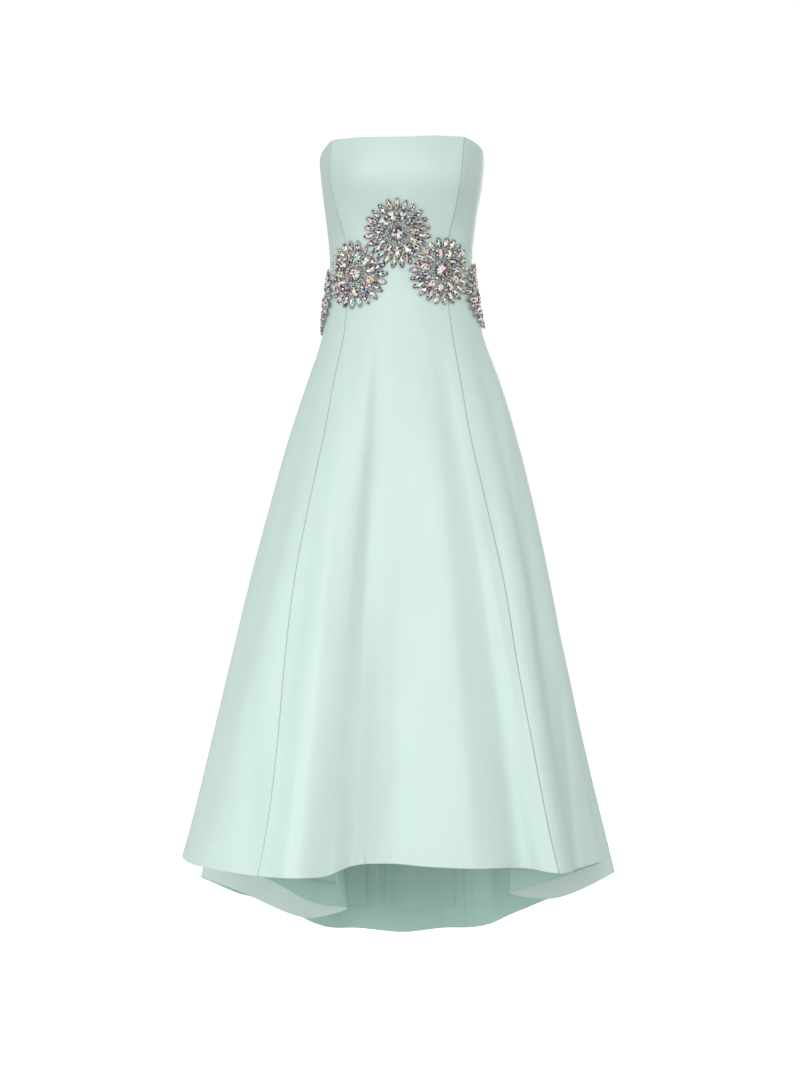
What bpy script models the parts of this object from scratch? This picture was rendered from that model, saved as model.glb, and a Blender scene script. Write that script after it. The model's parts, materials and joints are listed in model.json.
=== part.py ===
# A strapless princess-line evening dress in stiff satin, with a high-low hem and five crystal flowers at the
# waist. It is modelled as worn with no wearer in it, in metres, +Z up, with the front facing -Y.
# The origin is the centre of the waist.

import math

import bmesh
import bpy
import numpy as np
from mathutils import Matrix, Vector
from mathutils.geometry import delaunay_2d_cdt

# Cloth and seams
CLOTH = 0.002  # satin, interlining and lining together
SEAM_GAP = 0.0003
PANEL_ROWS = 24
BODICE_ROWS = 14  # of those rows, how many lie above the foot of the bodice
BODICE_FOOT = 0.27  # share of the length from the top edge to the hem

# Horizontal sections of the dress without its folds. Left and right are half widths on either side of the
# centre, front and back are depths, and the last two columns are where the front princess seams run.
SECTION_COLUMNS = ("height", "left", "right", "front", "back", "seam_left", "seam_right")
SECTIONS = (
    (0.200, 0.1335, 0.1405, 0.120, 0.092, -0.1090, 0.1040),
    (0.155, 0.1345, 0.1415, 0.130, 0.096, -0.1105, 0.1000),
    (0.118, 0.1310, 0.1380, 0.131, 0.097, -0.1105, 0.0965),
    (0.077, 0.1260, 0.1305, 0.1205, 0.094, -0.1020, 0.0895),
    (0.037, 0.1210, 0.1250, 0.1085, 0.088, -0.0935, 0.0825),
    (0.000, 0.1178, 0.1218, 0.0995, 0.085, -0.0876, 0.0786),
    (-0.050, 0.1198, 0.1245, 0.0955, 0.092, -0.0872, 0.0786),
    (-0.100, 0.1255, 0.1330, 0.098, 0.106, -0.0890, 0.0820),
    (-0.138, 0.1325, 0.1440, 0.104, 0.115, -0.0930, 0.0870),
    (-0.205, 0.1547, 0.1720, 0.116, 0.127, -0.1073, 0.0983),
    (-0.306, 0.1875, 0.2065, 0.131, 0.142, -0.1241, 0.1159),
    (-0.407, 0.2150, 0.2350, 0.145, 0.156, -0.1425, 0.1392),
    (-0.541, 0.2495, 0.2665, 0.163, 0.177, -0.1680, 0.1695),
    (-0.676, 0.2805, 0.2940, 0.180, 0.197, -0.1853, 0.1906),
    (-0.810, 0.3115, 0.3190, 0.197, 0.217, -0.1974, 0.2150),
    (-0.944, 0.3430, 0.3480, 0.213, 0.238, -0.2143, 0.2400),
    (-1.003, 0.3590, 0.3620, 0.220, 0.247, -0.2260, 0.2535),
    (-1.200, 0.4020, 0.4060, 0.244, 0.278, -0.2600, 0.2960),
)
ROUNDNESS = 2.25  # exponent of the oval; 2 is an ellipse

# The cups that the princess seams shape: two soft mounds on the front of the bodice.
CUP_ANGLE = math.radians(35)
CUP_SPREAD = math.radians(20)
CUP_HEIGHT = 0.122
CUP_REACH = 0.045
CUP_DEPTH = 0.009

# The hem, once round from the centre back by the left side. Each row is a crest or a valley of a fold: the
# angle at which its line leaves the hips, with 0 at the centre front and + to the right, and where it ends.
HEM_COLUMNS = ("hip_angle", "x", "y", "z")
HEM = (
    (-180, -0.045, 0.284, -1.175),
    (-160, -0.115, 0.280, -1.171),
    (-144, -0.185, 0.270, -1.144),
    (-128, -0.275, 0.250, -1.107),
    (-114, -0.354, 0.202, -1.069),
    (-106, -0.266, 0.150, -1.093),
    (-100, -0.150, 0.098, -1.125),
    (-95, -0.090, 0.076, -1.104),
    (-91, -0.140, 0.056, -1.094),
    (-86, -0.232, 0.030, -1.044),
    (-78, -0.361, -0.038, -0.999),
    (-69, -0.345, -0.096, -1.003),
    (-59, -0.289, -0.161, -1.007),
    (-47, -0.216, -0.222, -1.008),
    (-36, -0.155, -0.254, -1.006),
    (-25, -0.108, -0.246, -1.003),
    (-17, -0.074, -0.208, -0.992),
    (-4, -0.018, -0.194, -0.991),
    (12, 0.050, -0.206, -0.995),
    (23, 0.116, -0.210, -0.997),
    (33, 0.203, -0.180, -1.001),
    (41, 0.228, -0.202, -1.003),
    (50, 0.251, -0.205, -1.005),
    (61, 0.283, -0.146, -1.007),
    (77, 0.333, -0.062, -1.007),
    (86, 0.262, -0.012, -1.041),
    (95, 0.186, 0.022, -1.070),
    (102, 0.255, 0.052, -1.085),
    (111, 0.371, 0.120, -1.049),
    (120, 0.310, 0.190, -1.087),
    (128, 0.235, 0.234, -1.125),
    (144, 0.118, 0.268, -1.168),
    (160, 0.045, 0.278, -1.174),
    (180, -0.045, 0.284, -1.175),
)
FOLD_TOP = -0.10  # the folds start to open here
FOLD_EASE = 0.06  # and reach their straight run this far below
SIDE_SEAM = 95.0  # degrees round from the centre front
BACK_SEAM = 144.0

# The top edge: nearly straight over the bust, scooped under the arms, lower across the back.
TOP_EDGE_COLUMNS = ("angle", "height")
TOP_EDGE = (
    (-180, 0.1480),
    (-130, 0.1480),
    (-95, 0.1570),
    (-74, 0.1697),
    (-57, 0.1800),
    (-46, 0.1842),
    (-28, 0.1838),
    (0, 0.1834),
    (28, 0.1866),
    (44, 0.1868),
    (60, 0.1832),
    (78, 0.1731),
    (95, 0.1600),
    (130, 0.1480),
    (180, 0.1480),
)

# Crystal flowers: place round the body in degrees, height of the middle, outer radius, turn of the first stone
FLOWER_COLUMNS = ("name", "angle", "height", "radius", "turn")
FLOWERS = (
    ("flower_side_left", -93.0, -0.074, 0.0540, 8.0),
    ("flower_left", -42.5, -0.037, 0.0555, 4.0),
    ("flower_centre", -2.4, 0.028, 0.0550, 0.0),
    ("flower_right", 39.0, -0.031, 0.0555, -4.0),
    ("flower_side_right", 86.0, -0.066, 0.0540, -8.0),
)
BACKING = 0.0012  # felt and thread under the stones
LIFT = 0.0006  # between the cloth and what is sewn on it
BACKING_GRID = 0.011
STONE_MARGIN = 0.0008
RING_REACH = 0.35  # how far round a flower or a tape can lie from its middle
# Rings of stones: how many, their size as shares of the flower's radius, and their heights above the backing.
# A pointed stone has four corners and rises to a point; the others have a flat table on top.
STONE_COLUMNS = ("count", "outer_end", "inner_end", "half_width", "girdle", "top", "pointed")
STONE_RINGS = (
    (24, 0.990, 0.710, 0.075, 0.0018, 0.0042, True),
    (11, 0.675, 0.410, 0.100, 0.0026, 0.0058, False),
)
STONE_LEAST = 0.600  # an outer stone that has little room still ends no further in than this
STONE_APART = 0.020
CENTRE_STONE = 0.19
CENTRE_GIRDLE = 0.0032
CENTRE_TOP = 0.0074
TABLE_SHARE = 0.52  # of the stone's outline
NOTCH = 0.16  # how deep the backing is cut in between the outer stones

# The zip at the centre back, with its tapes inside the cloth
ZIP_TOP = 0.143
ZIP_FOOT = -0.190
ZIP_ROWS = 14
ZIP_LIFT = 0.0008
TAPE_EDGE = 0.0145
TAPE_INNER = 0.0019
TAPE_THICK = 0.0008
COIL_HALF = 0.0016
COIL_THICK = 0.0020
SLIDER_HEIGHT = 0.129
SLIDER_WIDE = 0.0080
SLIDER_LONG = 0.0100
SLIDER_THICK = 0.0024
PIVOT_LIFT = 0.0012  # the crossbar's axis above the slider's plate
BAIL_INNER = 0.0010
BAIL_OUTER = 0.0019
BAIL_HALF_WIDE = 0.0009
PULL_HALF_WIDE = 0.0032
PULL_LONG = 0.0230
PULL_THICK = 0.0009
PULL_EYE_HALF_WIDE = 0.0014
PULL_EYE_LONG = 0.0024
CROSSBAR_HALF = 0.00045

MATERIALS = {
    "satin": ((0.66, 0.82, 0.77), 0.42, 0.0),
    "crystal": ((0.70, 0.66, 0.72), 0.12, 0.6),
    "zip_tape": ((0.62, 0.78, 0.72), 0.75, 0.0),
    "zip_metal": ((0.80, 0.82, 0.82), 0.28, 1.0),
}


def slopes_through(knots, values, limited):
    """The slope of a smooth curve at each knot. A limited one never overshoots its rows."""
    steps = np.diff(knots)
    rises = np.diff(values) / steps
    slopes = np.empty(len(values))
    slopes[1:-1] = (rises[:-1] * steps[1:] + rises[1:] * steps[:-1]) / (steps[:-1] + steps[1:])
    slopes[0], slopes[-1] = rises[0], rises[-1]
    if limited:
        turning = rises[:-1] * rises[1:] <= 0
        slopes[1:-1][turning] = 0.0
        most = 3 * np.minimum(np.abs(rises[:-1]), np.abs(rises[1:]))
        slopes[1:-1] = np.clip(slopes[1:-1], -most, most)
    return slopes


def smooth(at, knots, values, closed=False, limited=False):
    """A cubic curve through the rows of a table, read at any place."""
    knots, values = np.asarray(knots, float), np.asarray(values, float)
    slopes = slopes_through(knots, values, limited)
    if closed:
        before, after = knots[1] - knots[0], knots[-1] - knots[-2]
        rise_after = (values[-1] - values[-2]) / after
        rise_before = (values[1] - values[0]) / before
        slopes[0] = slopes[-1] = (rise_after * before + rise_before * after) / (before + after)
    at = np.clip(np.asarray(at, float), knots[0], knots[-1])
    i = np.clip(np.searchsorted(knots, at, side="right") - 1, 0, len(knots) - 2)
    step = knots[i + 1] - knots[i]
    t = (at - knots[i]) / step
    value = values[i] * (1 + 2 * t) * (1 - t) ** 2 + values[i + 1] * t * t * (3 - 2 * t)
    return value + step * (slopes[i] * t * (1 - t) ** 2 - slopes[i + 1] * t * t * (1 - t))


SECTION = dict(zip(SECTION_COLUMNS, np.array(SECTIONS[::-1]).T))
HEM_LINE = dict(zip(HEM_COLUMNS, np.array(HEM, float).T))
HEM_STEPS = np.linalg.norm(np.diff(np.array(HEM, float)[:, 1:], axis=0), axis=1)
HEM_LINE["along"] = np.concatenate([[0.0], np.cumsum(HEM_STEPS)])
ROUND = HEM_LINE["along"][-1]  # the way once round is measured along the hem


def section(height, column):
    return smooth(height, SECTION["height"], SECTION[column])


def body(angle, height):
    """The oval of the dress without folds: x and y at an angle round it, in radians."""
    side = np.where(np.sin(angle) < 0, section(height, "left"), section(height, "right"))
    depth = np.where(np.cos(angle) > 0, section(height, "front"), section(height, "back"))
    across = np.abs(np.sin(angle) / side) ** ROUNDNESS
    along = np.abs(np.cos(angle) / depth) ** ROUNDNESS
    radius = (across + along) ** (-1 / ROUNDNESS)
    round_cup = ((np.abs(angle) - CUP_ANGLE) / CUP_SPREAD) ** 2
    up_cup = ((height - CUP_HEIGHT) / CUP_REACH) ** 2
    radius = radius + CUP_DEPTH * np.exp(-round_cup - up_cup)
    return radius * np.sin(angle), -radius * np.cos(angle)


def hem(way, column):
    return smooth(way, HEM_LINE["along"], HEM_LINE[column], closed=True)


def angle_of(way):
    return np.radians(smooth(way, HEM_LINE["along"], HEM_LINE["hip_angle"], limited=True))


def way_of(angle_degrees):
    """The way round at which a line leaves the hips at this angle."""
    ways = np.linspace(0, ROUND, 4001)
    return np.interp(angle_degrees, np.degrees(angle_of(ways)), ways)


def surface(way, height):
    """The outer face of the cloth, at a way round and a height."""
    way = np.mod(way, ROUND)
    angle = angle_of(way)
    x, y = body(angle, height)
    foot = hem(way, "z")
    hem_x, hem_y = body(angle, foot)
    down = np.maximum(FOLD_TOP - height, 0.0)
    whole = FOLD_TOP - foot
    opened = (down * down / (down + FOLD_EASE)) / (whole * whole / (whole + FOLD_EASE))
    x = x + opened * (hem(way, "x") - hem_x)
    y = y + opened * (hem(way, "y") - hem_y)
    return np.stack([x, y, height + 0.0 * x], axis=-1)


def outward(way, height):
    """The unit normal of the outer face."""
    reach = 0.001
    round_it = surface(way + reach, height) - surface(way - reach, height)
    up = surface(way, height + reach) - surface(way, height - reach)
    normal = np.cross(round_it, up)
    return normal / np.linalg.norm(normal, axis=-1, keepdims=True)


def top_edge(way):
    angles, heights = np.array(TOP_EDGE, float).T
    return smooth(np.degrees(angle_of(way)), angles, heights, limited=True)


def front_seam(column):
    """A front princess seam, as a function from height to way round."""
    side = np.sign(SECTION[column][0])
    ways = np.linspace(way_of(0), way_of(80 * side), 400)
    heights = np.linspace(SECTION["height"][0], SECTION["height"][-1], 120)
    found = []
    for height in heights:
        reaches = side * surface(ways, height)[:, 0]
        found.append(np.interp(side * section(height, column), reaches, ways))
    return lambda height: np.interp(height, heights, found)


def seam_at(degrees):
    """A seam that leaves the hips at one angle."""
    fixed = float(way_of(degrees))
    return lambda height: fixed + 0.0 * np.asarray(height, float)


SEAMS = {
    "centre_back_left": lambda height: 0.0 * np.asarray(height, float),
    "back_left": seam_at(-BACK_SEAM),
    "side_left": seam_at(-SIDE_SEAM),
    "front_left": front_seam("seam_left"),
    "front_right": front_seam("seam_right"),
    "side_right": seam_at(SIDE_SEAM),
    "back_right": seam_at(BACK_SEAM),
    "centre_back_right": lambda height: ROUND + 0.0 * np.asarray(height, float),
}

# Panels as a maker cuts them, each from the top edge to the hem: its two seams and its columns.
# The columns of the table: name, from_seam, to_seam, columns.
PANELS = (
    ("back_centre_left", "centre_back_left", "back_left", 8),
    ("back_side_left", "back_left", "side_left", 15),
    ("front_side_left", "side_left", "front_left", 15),
    ("front_centre", "front_left", "front_right", 20),
    ("front_side_right", "front_right", "side_right", 14),
    ("back_side_right", "side_right", "back_right", 14),
    ("back_centre_right", "back_right", "centre_back_right", 8),
)


def places(from_seam, to_seam, across, down):
    """The way round and the height of points across a panel and down it."""
    way = SEAMS[from_seam](0.0) * (1 - across) + SEAMS[to_seam](0.0) * across
    for _ in range(6):
        inside = np.clip(way, 0, ROUND)
        height = top_edge(inside) * (1 - down) + hem(inside, "z") * down
        way = SEAMS[from_seam](height) * (1 - across) + SEAMS[to_seam](height) * across
    return way, height


def spaced_across(from_seam, to_seam, columns, down):
    """Shares across a panel, with points closer together where the cloth turns."""
    across = np.linspace(0, 1, 241)
    way, height = places(from_seam, to_seam, across, down)
    points = surface(way, height)
    steps = np.diff(points, axis=0)
    lengths = np.linalg.norm(steps, axis=1)
    directions = steps / lengths[:, None]
    turns = np.arccos(np.clip((directions[1:] * directions[:-1]).sum(axis=1), -1, 1))
    turning_weight = 0.055  # metres of cloth that one radian of turn counts for
    measure = lengths + turning_weight * np.concatenate([[turns[0]], turns])
    covered = np.concatenate([[0.0], np.cumsum(measure)])
    return np.interp(np.linspace(0, covered[-1], columns + 1), covered, across)


def row_shares():
    """Shares of the length at which a panel's rows lie: closer together in the bodice."""
    bodice = np.linspace(0, BODICE_FOOT, BODICE_ROWS + 1)
    skirt = np.linspace(BODICE_FOOT, 1, PANEL_ROWS - BODICE_ROWS + 1)
    return np.concatenate([bodice, skirt[1:]])


def panel_skins(from_seam, to_seam, columns):
    """A panel's rows of points, as its outer and its inner skin."""
    outer, inner = [], []
    for down in row_shares():
        across = spaced_across(from_seam, to_seam, columns, down)
        way, height = places(from_seam, to_seam, across, down)
        points = surface(way, height)
        normals = outward(way, height)
        for end, near in ((0, 1), (-1, -2)):
            along = points[near] - points[end]
            points[end] = points[end] + along / np.linalg.norm(along) * SEAM_GAP / 2
        outer.append(points)
        inner.append(points - normals * CLOTH)
    return np.array(outer), np.array(inner)


def material(name):
    made = bpy.data.materials.get(name)
    if made is None:
        colour, roughness, metallic = MATERIALS[name]
        made = bpy.data.materials.new(name)
        made.use_nodes = True
        shader = made.node_tree.nodes["Principled BSDF"]
        shader.inputs["Base Color"].default_value = (*colour, 1.0)
        shader.inputs["Roughness"].default_value = roughness
        shader.inputs["Metallic"].default_value = metallic
        made.diffuse_color = (*colour, 1.0)
    return made


def mesh_object(name, points, faces, material_name, parent):
    mesh = bpy.data.meshes.new(name)
    mesh.from_pydata([tuple(point) for point in points], [], [list(face) for face in faces])
    mesh.update()
    mesh.materials.append(material(material_name))
    made = bpy.data.objects.new(name, mesh)
    made.parent = parent
    bpy.context.scene.collection.objects.link(made)
    return made


def facets(rows, columns, first=0):
    """The triangles of a skin of rows of points, facing away from the middle of the dress."""
    faces = []
    for row in range(rows - 1):
        for column in range(columns - 1):
            a = first + row * columns + column
            b, c, d = a + 1, a + columns + 1, a + columns
            faces += [(a, d, c), (a, c, b)]
    return faces


def wall(name, outer, inner, material_name, parent):
    """A closed wall between an outer and an inner skin with the same rows and columns."""
    rows, columns = outer.shape[:2]
    count = rows * columns
    points = np.concatenate([outer.reshape(-1, 3), inner.reshape(-1, 3)])
    faces = facets(rows, columns)
    faces += [face[::-1] for face in facets(rows, columns, count)]
    top = list(range(columns))
    last = [(rows - 1) * columns + column for column in range(columns)]
    left = [row * columns for row in range(rows)]
    right = [row * columns + columns - 1 for row in range(rows)]
    for edge, turned in ((top, False), (last, True), (left, True), (right, False)):
        for a, b in zip(edge, edge[1:]):
            face = (a, b, count + b, count + a)
            faces.append(face[::-1] if turned else face)
    made = mesh_object(name, points, faces, material_name, parent)
    made.data.shade_smooth()
    return made


def ring_lengths(start, height):
    """Ways round near a start, and how far along the ring at one height they lie from it."""
    ways = start + np.linspace(-RING_REACH, RING_REACH, 121)
    points = surface(ways, height)
    lengths = np.concatenate([[0.0], np.cumsum(np.linalg.norm(np.diff(points, axis=0), axis=1))])
    return ways, lengths - np.interp(start, ways, lengths)


def ring_way(start, offset, height):
    """The way round of a point that lies an offset along the ring from a start, at one height."""
    ways, lengths = ring_lengths(start, height)
    return np.interp(offset, lengths, ways)


def on_cloth(start, middle_height, local, lift):
    """Points of a flat layout, laid on the cloth round a middle and lifted off it."""
    placed = np.empty((len(local), 3))
    for i, (right, up) in enumerate(local):
        height = middle_height + up
        way = ring_way(start, right, height)
        placed[i] = surface(way, height) + outward(way, height) * lift
    return placed


def filled(outline, holes, extra):
    """Triangles that fill an outline round its holes, with extra points inside it."""
    points, faces = [Vector(point) for point in outline], [list(range(len(outline)))]
    for hole in holes:
        faces.append(list(range(len(points), len(points) + len(hole))))
        points += [Vector(point) for point in hole]
    points += [Vector(point) for point in extra]
    made = delaunay_2d_cdt(points, [], faces, 1, 1e-7)
    corners, triangles, came_from = made[0], made[2], made[5]
    kept = [tri for tri, source in zip(triangles, came_from) if list(source) == [0]]
    return [(corner.x, corner.y) for corner in corners], kept


def stone_outline(direction, inner_end, outer_end, half_width, pointed):
    """The outline of a stone that lies along a direction from the flower's middle."""
    corners = 4 if pointed else 6
    along = np.array([math.cos(direction), math.sin(direction)])
    aside = np.array([-along[1], along[0]])
    middle, half_length = (inner_end + outer_end) / 2, (outer_end - inner_end) / 2
    turns = [2 * math.pi * k / corners for k in range(corners)]
    return [along * (middle + half_length * math.cos(t)) + aside * half_width * math.sin(t) for t in turns]


def room_for(direction, radius, neighbours):
    """How far a flower may reach in a direction before it meets a neighbour's half."""
    reach = radius
    for away, towards in neighbours:
        facing = math.cos(direction - towards)
        if facing > 0.2:
            reach = min(reach, (away / 2 - STONE_MARGIN) / facing)
    return reach


def stones_of(radius, turn, neighbours):
    """The outlines of a flower's stones with their heights: two rings and the middle one."""
    stones = []
    outer, inner = [dict(zip(STONE_COLUMNS, row)) for row in STONE_RINGS]

    def ends(direction):
        outer_end = outer["outer_end"] * room_for(direction, radius, neighbours)
        length = radius * (outer["outer_end"] - outer["inner_end"])
        return max(radius * STONE_LEAST, outer_end - length), outer_end

    for k in range(outer["count"]):
        direction = turn + 2 * math.pi * k / outer["count"]
        corners = stone_outline(direction, *ends(direction), radius * outer["half_width"], True)
        stones.append((corners, outer))
    for k in range(inner["count"]):
        direction = turn + 2 * math.pi * (k + 0.5) / inner["count"]
        nearest = min(ends(direction + math.radians(aside))[0] for aside in (-14, 0, 14))
        outer_end = min(radius * inner["outer_end"], nearest - radius * STONE_APART)
        inner_end = radius * inner["inner_end"]
        corners = stone_outline(direction, inner_end, outer_end, radius * inner["half_width"], False)
        stones.append((corners, inner))
    turns = [2 * math.pi * k / 8 for k in range(8)]
    middle = [np.array([math.cos(t), math.sin(t)]) * radius * CENTRE_STONE for t in turns]
    stones.append((middle, {"girdle": CENTRE_GIRDLE, "top": CENTRE_TOP, "pointed": False}))
    return stones


def backing_outline(radius, turn, neighbours):
    """The edge of the backing: a tip under each outer stone and a notch between them."""
    outline = []
    points = 2 * STONE_RINGS[0][0]
    for k in range(points):
        direction = turn + 2 * math.pi * k / points
        reach = room_for(direction, radius, neighbours)
        notch = NOTCH * max(0.0, 1 - 4 * (1 - reach / radius)) * (k % 2)
        outline.append(np.array([math.cos(direction), math.sin(direction)]) * reach * (1 - notch))
    return outline


def backing_grid(radius, neighbours):
    """Points inside the backing, so that its underside follows the cloth."""
    grid = []
    lines = int(radius / BACKING_GRID) + 1
    for line in range(-lines, lines + 1):
        for place in range(-lines, lines + 1):
            spot = np.array([(place + 0.5 * (line % 2)) * BACKING_GRID, line * BACKING_GRID * 0.866])
            reach = room_for(math.atan2(spot[1], spot[0]), radius, neighbours)
            if np.linalg.norm(spot) < reach * (1 - NOTCH) - BACKING_GRID * 0.3:
                grid.append(spot)
    return grid


def flower(row, turn, neighbours, parent):
    """A sewn flower: a backing that follows the cloth, with cut stones raised on it."""
    start, height, radius = row["way"], row["height"], row["radius"]
    stones = stones_of(radius, turn, neighbours)
    outline = backing_outline(radius, turn, neighbours)
    flat_top, top_faces = filled(outline, [corners for corners, _ in stones], [])
    flat_under, under_faces = filled(outline, [], backing_grid(radius, neighbours))

    points = list(on_cloth(start, height, flat_top, LIFT + BACKING))
    faces = [tuple(face) for face in top_faces]
    under_first = len(points)
    points += list(on_cloth(start, height, flat_under, LIFT))
    faces += [tuple(under_first + corner for corner in face[::-1]) for face in under_faces]
    rim = len(outline)
    for k in range(rim):
        after = (k + 1) % rim
        faces.append((k, under_first + k, under_first + after, after))
    foot = rim
    for corners, cut in stones:
        size = len(corners)
        middle = np.mean(corners, axis=0)
        girdle_first = len(points)
        points += list(on_cloth(start, height, corners, LIFT + BACKING + cut["girdle"]))
        crown = [middle]
        if not cut["pointed"]:
            crown = [middle + (corner - middle) * TABLE_SHARE for corner in corners]
        crown_first = len(points)
        points += list(on_cloth(start, height, crown, LIFT + BACKING + cut["top"]))
        for k in range(size):
            after = (k + 1) % size
            faces.append((foot + k, foot + after, girdle_first + after, girdle_first + k))
            if cut["pointed"]:
                faces.append((girdle_first + k, girdle_first + after, crown_first))
            else:
                faces.append((girdle_first + k, girdle_first + after, crown_first + after, crown_first + k))
        if not cut["pointed"]:
            faces.append(tuple(crown_first + k for k in range(size)))
        foot += size
    return mesh_object(row["name"], points, faces, "crystal", parent)


def flowers(parent):
    """All the flowers, each kept out of its neighbours' halves."""
    rows = [dict(zip(FLOWER_COLUMNS, row)) for row in FLOWERS]
    for row in rows:
        row["way"] = float(way_of(row["angle"]))
    for i, row in enumerate(rows):
        neighbours = []
        for j in (i - 1, i + 1):
            if 0 <= j < len(rows):
                ways = np.linspace(row["way"], rows[j]["way"], 60)
                level = (row["height"] + rows[j]["height"]) / 2
                around = np.linalg.norm(np.diff(surface(ways, level), axis=0), axis=1).sum()
                along = around * (1 if j > i else -1)
                up = rows[j]["height"] - row["height"]
                neighbours.append((math.hypot(along, up), math.atan2(up, along)))
        flower(row, math.radians(90 + row["turn"]), neighbours, parent)


def zip_strip(name, from_x, to_x, thick, material_name, parent):
    """A strip inside the centre back, between two distances from the seam."""
    heights = np.linspace(ZIP_TOP, ZIP_FOOT, ZIP_ROWS + 1)
    edges = np.linspace(from_x, to_x, 3)
    near, far = [], []
    for height in heights:
        # Seen from behind the way round runs from right to left, so a distance to the right is a way back.
        ways = ring_way(ROUND, -edges[::-1], height)
        points = surface(ways, height)
        normals = outward(ways, height)
        near.append(points - normals * (CLOTH + ZIP_LIFT))
        far.append(points - normals * (CLOTH + ZIP_LIFT + thick))
    return wall(name, np.array(near), np.array(far), material_name, parent)


def block(name, low, high):
    """A plain box between two corners."""
    grid = bmesh.new()
    size = Vector(high) - Vector(low)
    middle = (Vector(high) + Vector(low)) / 2
    bmesh.ops.create_cube(grid, size=1, matrix=Matrix.Translation(middle) @ Matrix.Diagonal((*size, 1)))
    mesh = bpy.data.meshes.new(name)
    grid.to_mesh(mesh)
    grid.free()
    made = bpy.data.objects.new(name, mesh)
    bpy.context.scene.collection.objects.link(made)
    return made


def slider_place():
    """Where the slider sits, as a matrix: X across, Y out of the cloth, Z up along it."""
    spot = surface(np.array(ROUND), np.array(SLIDER_HEIGHT))
    normal = outward(np.array(ROUND), np.array(SLIDER_HEIGHT))
    out = Vector((0.0, normal[1], normal[2])).normalized()
    across = Vector((1.0, 0.0, 0.0))
    up = across.cross(out)
    turned = Matrix((across, out, up)).transposed().to_4x4()
    return Matrix.Translation(Vector(spot) + out * LIFT) @ turned


def zip_slider(parent):
    """The slider: a bevelled plate with a half-round bail over the pull's crossbar."""
    plate = block(
        "zip_slider",
        (-SLIDER_WIDE / 2, 0, -SLIDER_LONG / 2),
        (SLIDER_WIDE / 2, SLIDER_THICK, SLIDER_LONG / 2),
    )
    plate.data.materials.append(material("zip_metal"))
    steps = 10
    foot = PIVOT_LIFT + SLIDER_THICK * 0.4
    arch = [(math.cos(math.pi * k / steps), math.sin(math.pi * k / steps)) for k in range(steps + 1)]
    inner = [(BAIL_INNER * along, BAIL_INNER * out) for along, out in arch]
    outer = [(BAIL_OUTER * along, BAIL_OUTER * out) for along, out in arch]
    inner = [(BAIL_INNER, -foot)] + inner + [(-BAIL_INNER, -foot)]
    outer = [(BAIL_OUTER, -foot)] + outer + [(-BAIL_OUTER, -foot)]
    profile = outer + inner[::-1]
    count = len(profile)
    axis = SLIDER_THICK + PIVOT_LIFT
    points = [(-BAIL_HALF_WIDE, axis + out, along) for along, out in profile]
    points += [(BAIL_HALF_WIDE, axis + out, along) for along, out in profile]
    faces = [(k, (k + 1) % count, count + (k + 1) % count, count + k) for k in range(count)]
    half = len(outer)
    for k in range(half - 1):
        strip = (k, k + 1, count - 2 - k, count - 1 - k)
        faces.append(strip[::-1])
        faces.append(tuple(count + corner for corner in strip))
    bail = mesh_object("bail_cutter", points, faces, "zip_metal", None)
    clean = bmesh.new()
    clean.from_mesh(bail.data)
    bmesh.ops.recalc_face_normals(clean, faces=clean.faces)
    clean.to_mesh(bail.data)
    clean.free()
    joined = plate.modifiers.new("bail", "BOOLEAN")
    joined.operation = "UNION"
    joined.object = bail
    for helper in (bail,):
        helper.hide_render = True
        helper.display_type = "WIRE"
    plate.matrix_world = slider_place()
    bail.matrix_world = slider_place()
    plate.parent = parent
    return plate


def zip_pull(parent):
    """The pull: a teardrop plate that hangs plumb from its crossbar under the bail."""
    pivot = slider_place() @ Vector((0, SLIDER_THICK + PIVOT_LIFT, 0))
    eye_top = -CROSSBAR_HALF
    eye = [
        (-PULL_EYE_HALF_WIDE, eye_top),
        (-PULL_EYE_HALF_WIDE, eye_top - PULL_EYE_LONG),
        (PULL_EYE_HALF_WIDE, eye_top - PULL_EYE_LONG),
        (PULL_EYE_HALF_WIDE, eye_top),
    ]
    neck = PULL_EYE_HALF_WIDE + 0.0010
    outline = [(neck, CROSSBAR_HALF), (-neck, CROSSBAR_HALF), (-neck, eye_top - PULL_EYE_LONG)]
    drop_middle = -(PULL_LONG - PULL_HALF_WIDE)
    for k in range(11):
        turn = math.pi + math.pi * k / 10
        outline.append((PULL_HALF_WIDE * math.cos(turn), drop_middle + PULL_HALF_WIDE * math.sin(turn)))
    outline.append((neck, eye_top - PULL_EYE_LONG))
    flat, triangles = filled(outline, [eye], [])
    count = len(flat)
    points = [(x, PULL_THICK / 2, z) for x, z in flat] + [(x, -PULL_THICK / 2, z) for x, z in flat]
    faces = [tuple(face[::-1]) for face in triangles]
    faces += [tuple(count + corner for corner in face) for face in triangles]
    rim = len(outline)
    for first, size in ((0, rim), (rim, len(eye))):
        for k in range(size):
            a, b = first + k, first + (k + 1) % size
            faces.append((a, b, count + b, count + a))
    clean = bmesh.new()
    mesh = bpy.data.meshes.new("zip_pull")
    mesh.from_pydata(points, [], faces)
    clean.from_mesh(mesh)
    bmesh.ops.recalc_face_normals(clean, faces=clean.faces)
    clean.to_mesh(mesh)
    clean.free()
    mesh.materials.append(material("zip_metal"))
    made = bpy.data.objects.new("zip_pull", mesh)
    made.location = pivot
    made.parent = parent
    bpy.context.scene.collection.objects.link(made)
    print("zip pull pivot:", [round(value, 6) for value in pivot])
    return made


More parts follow.
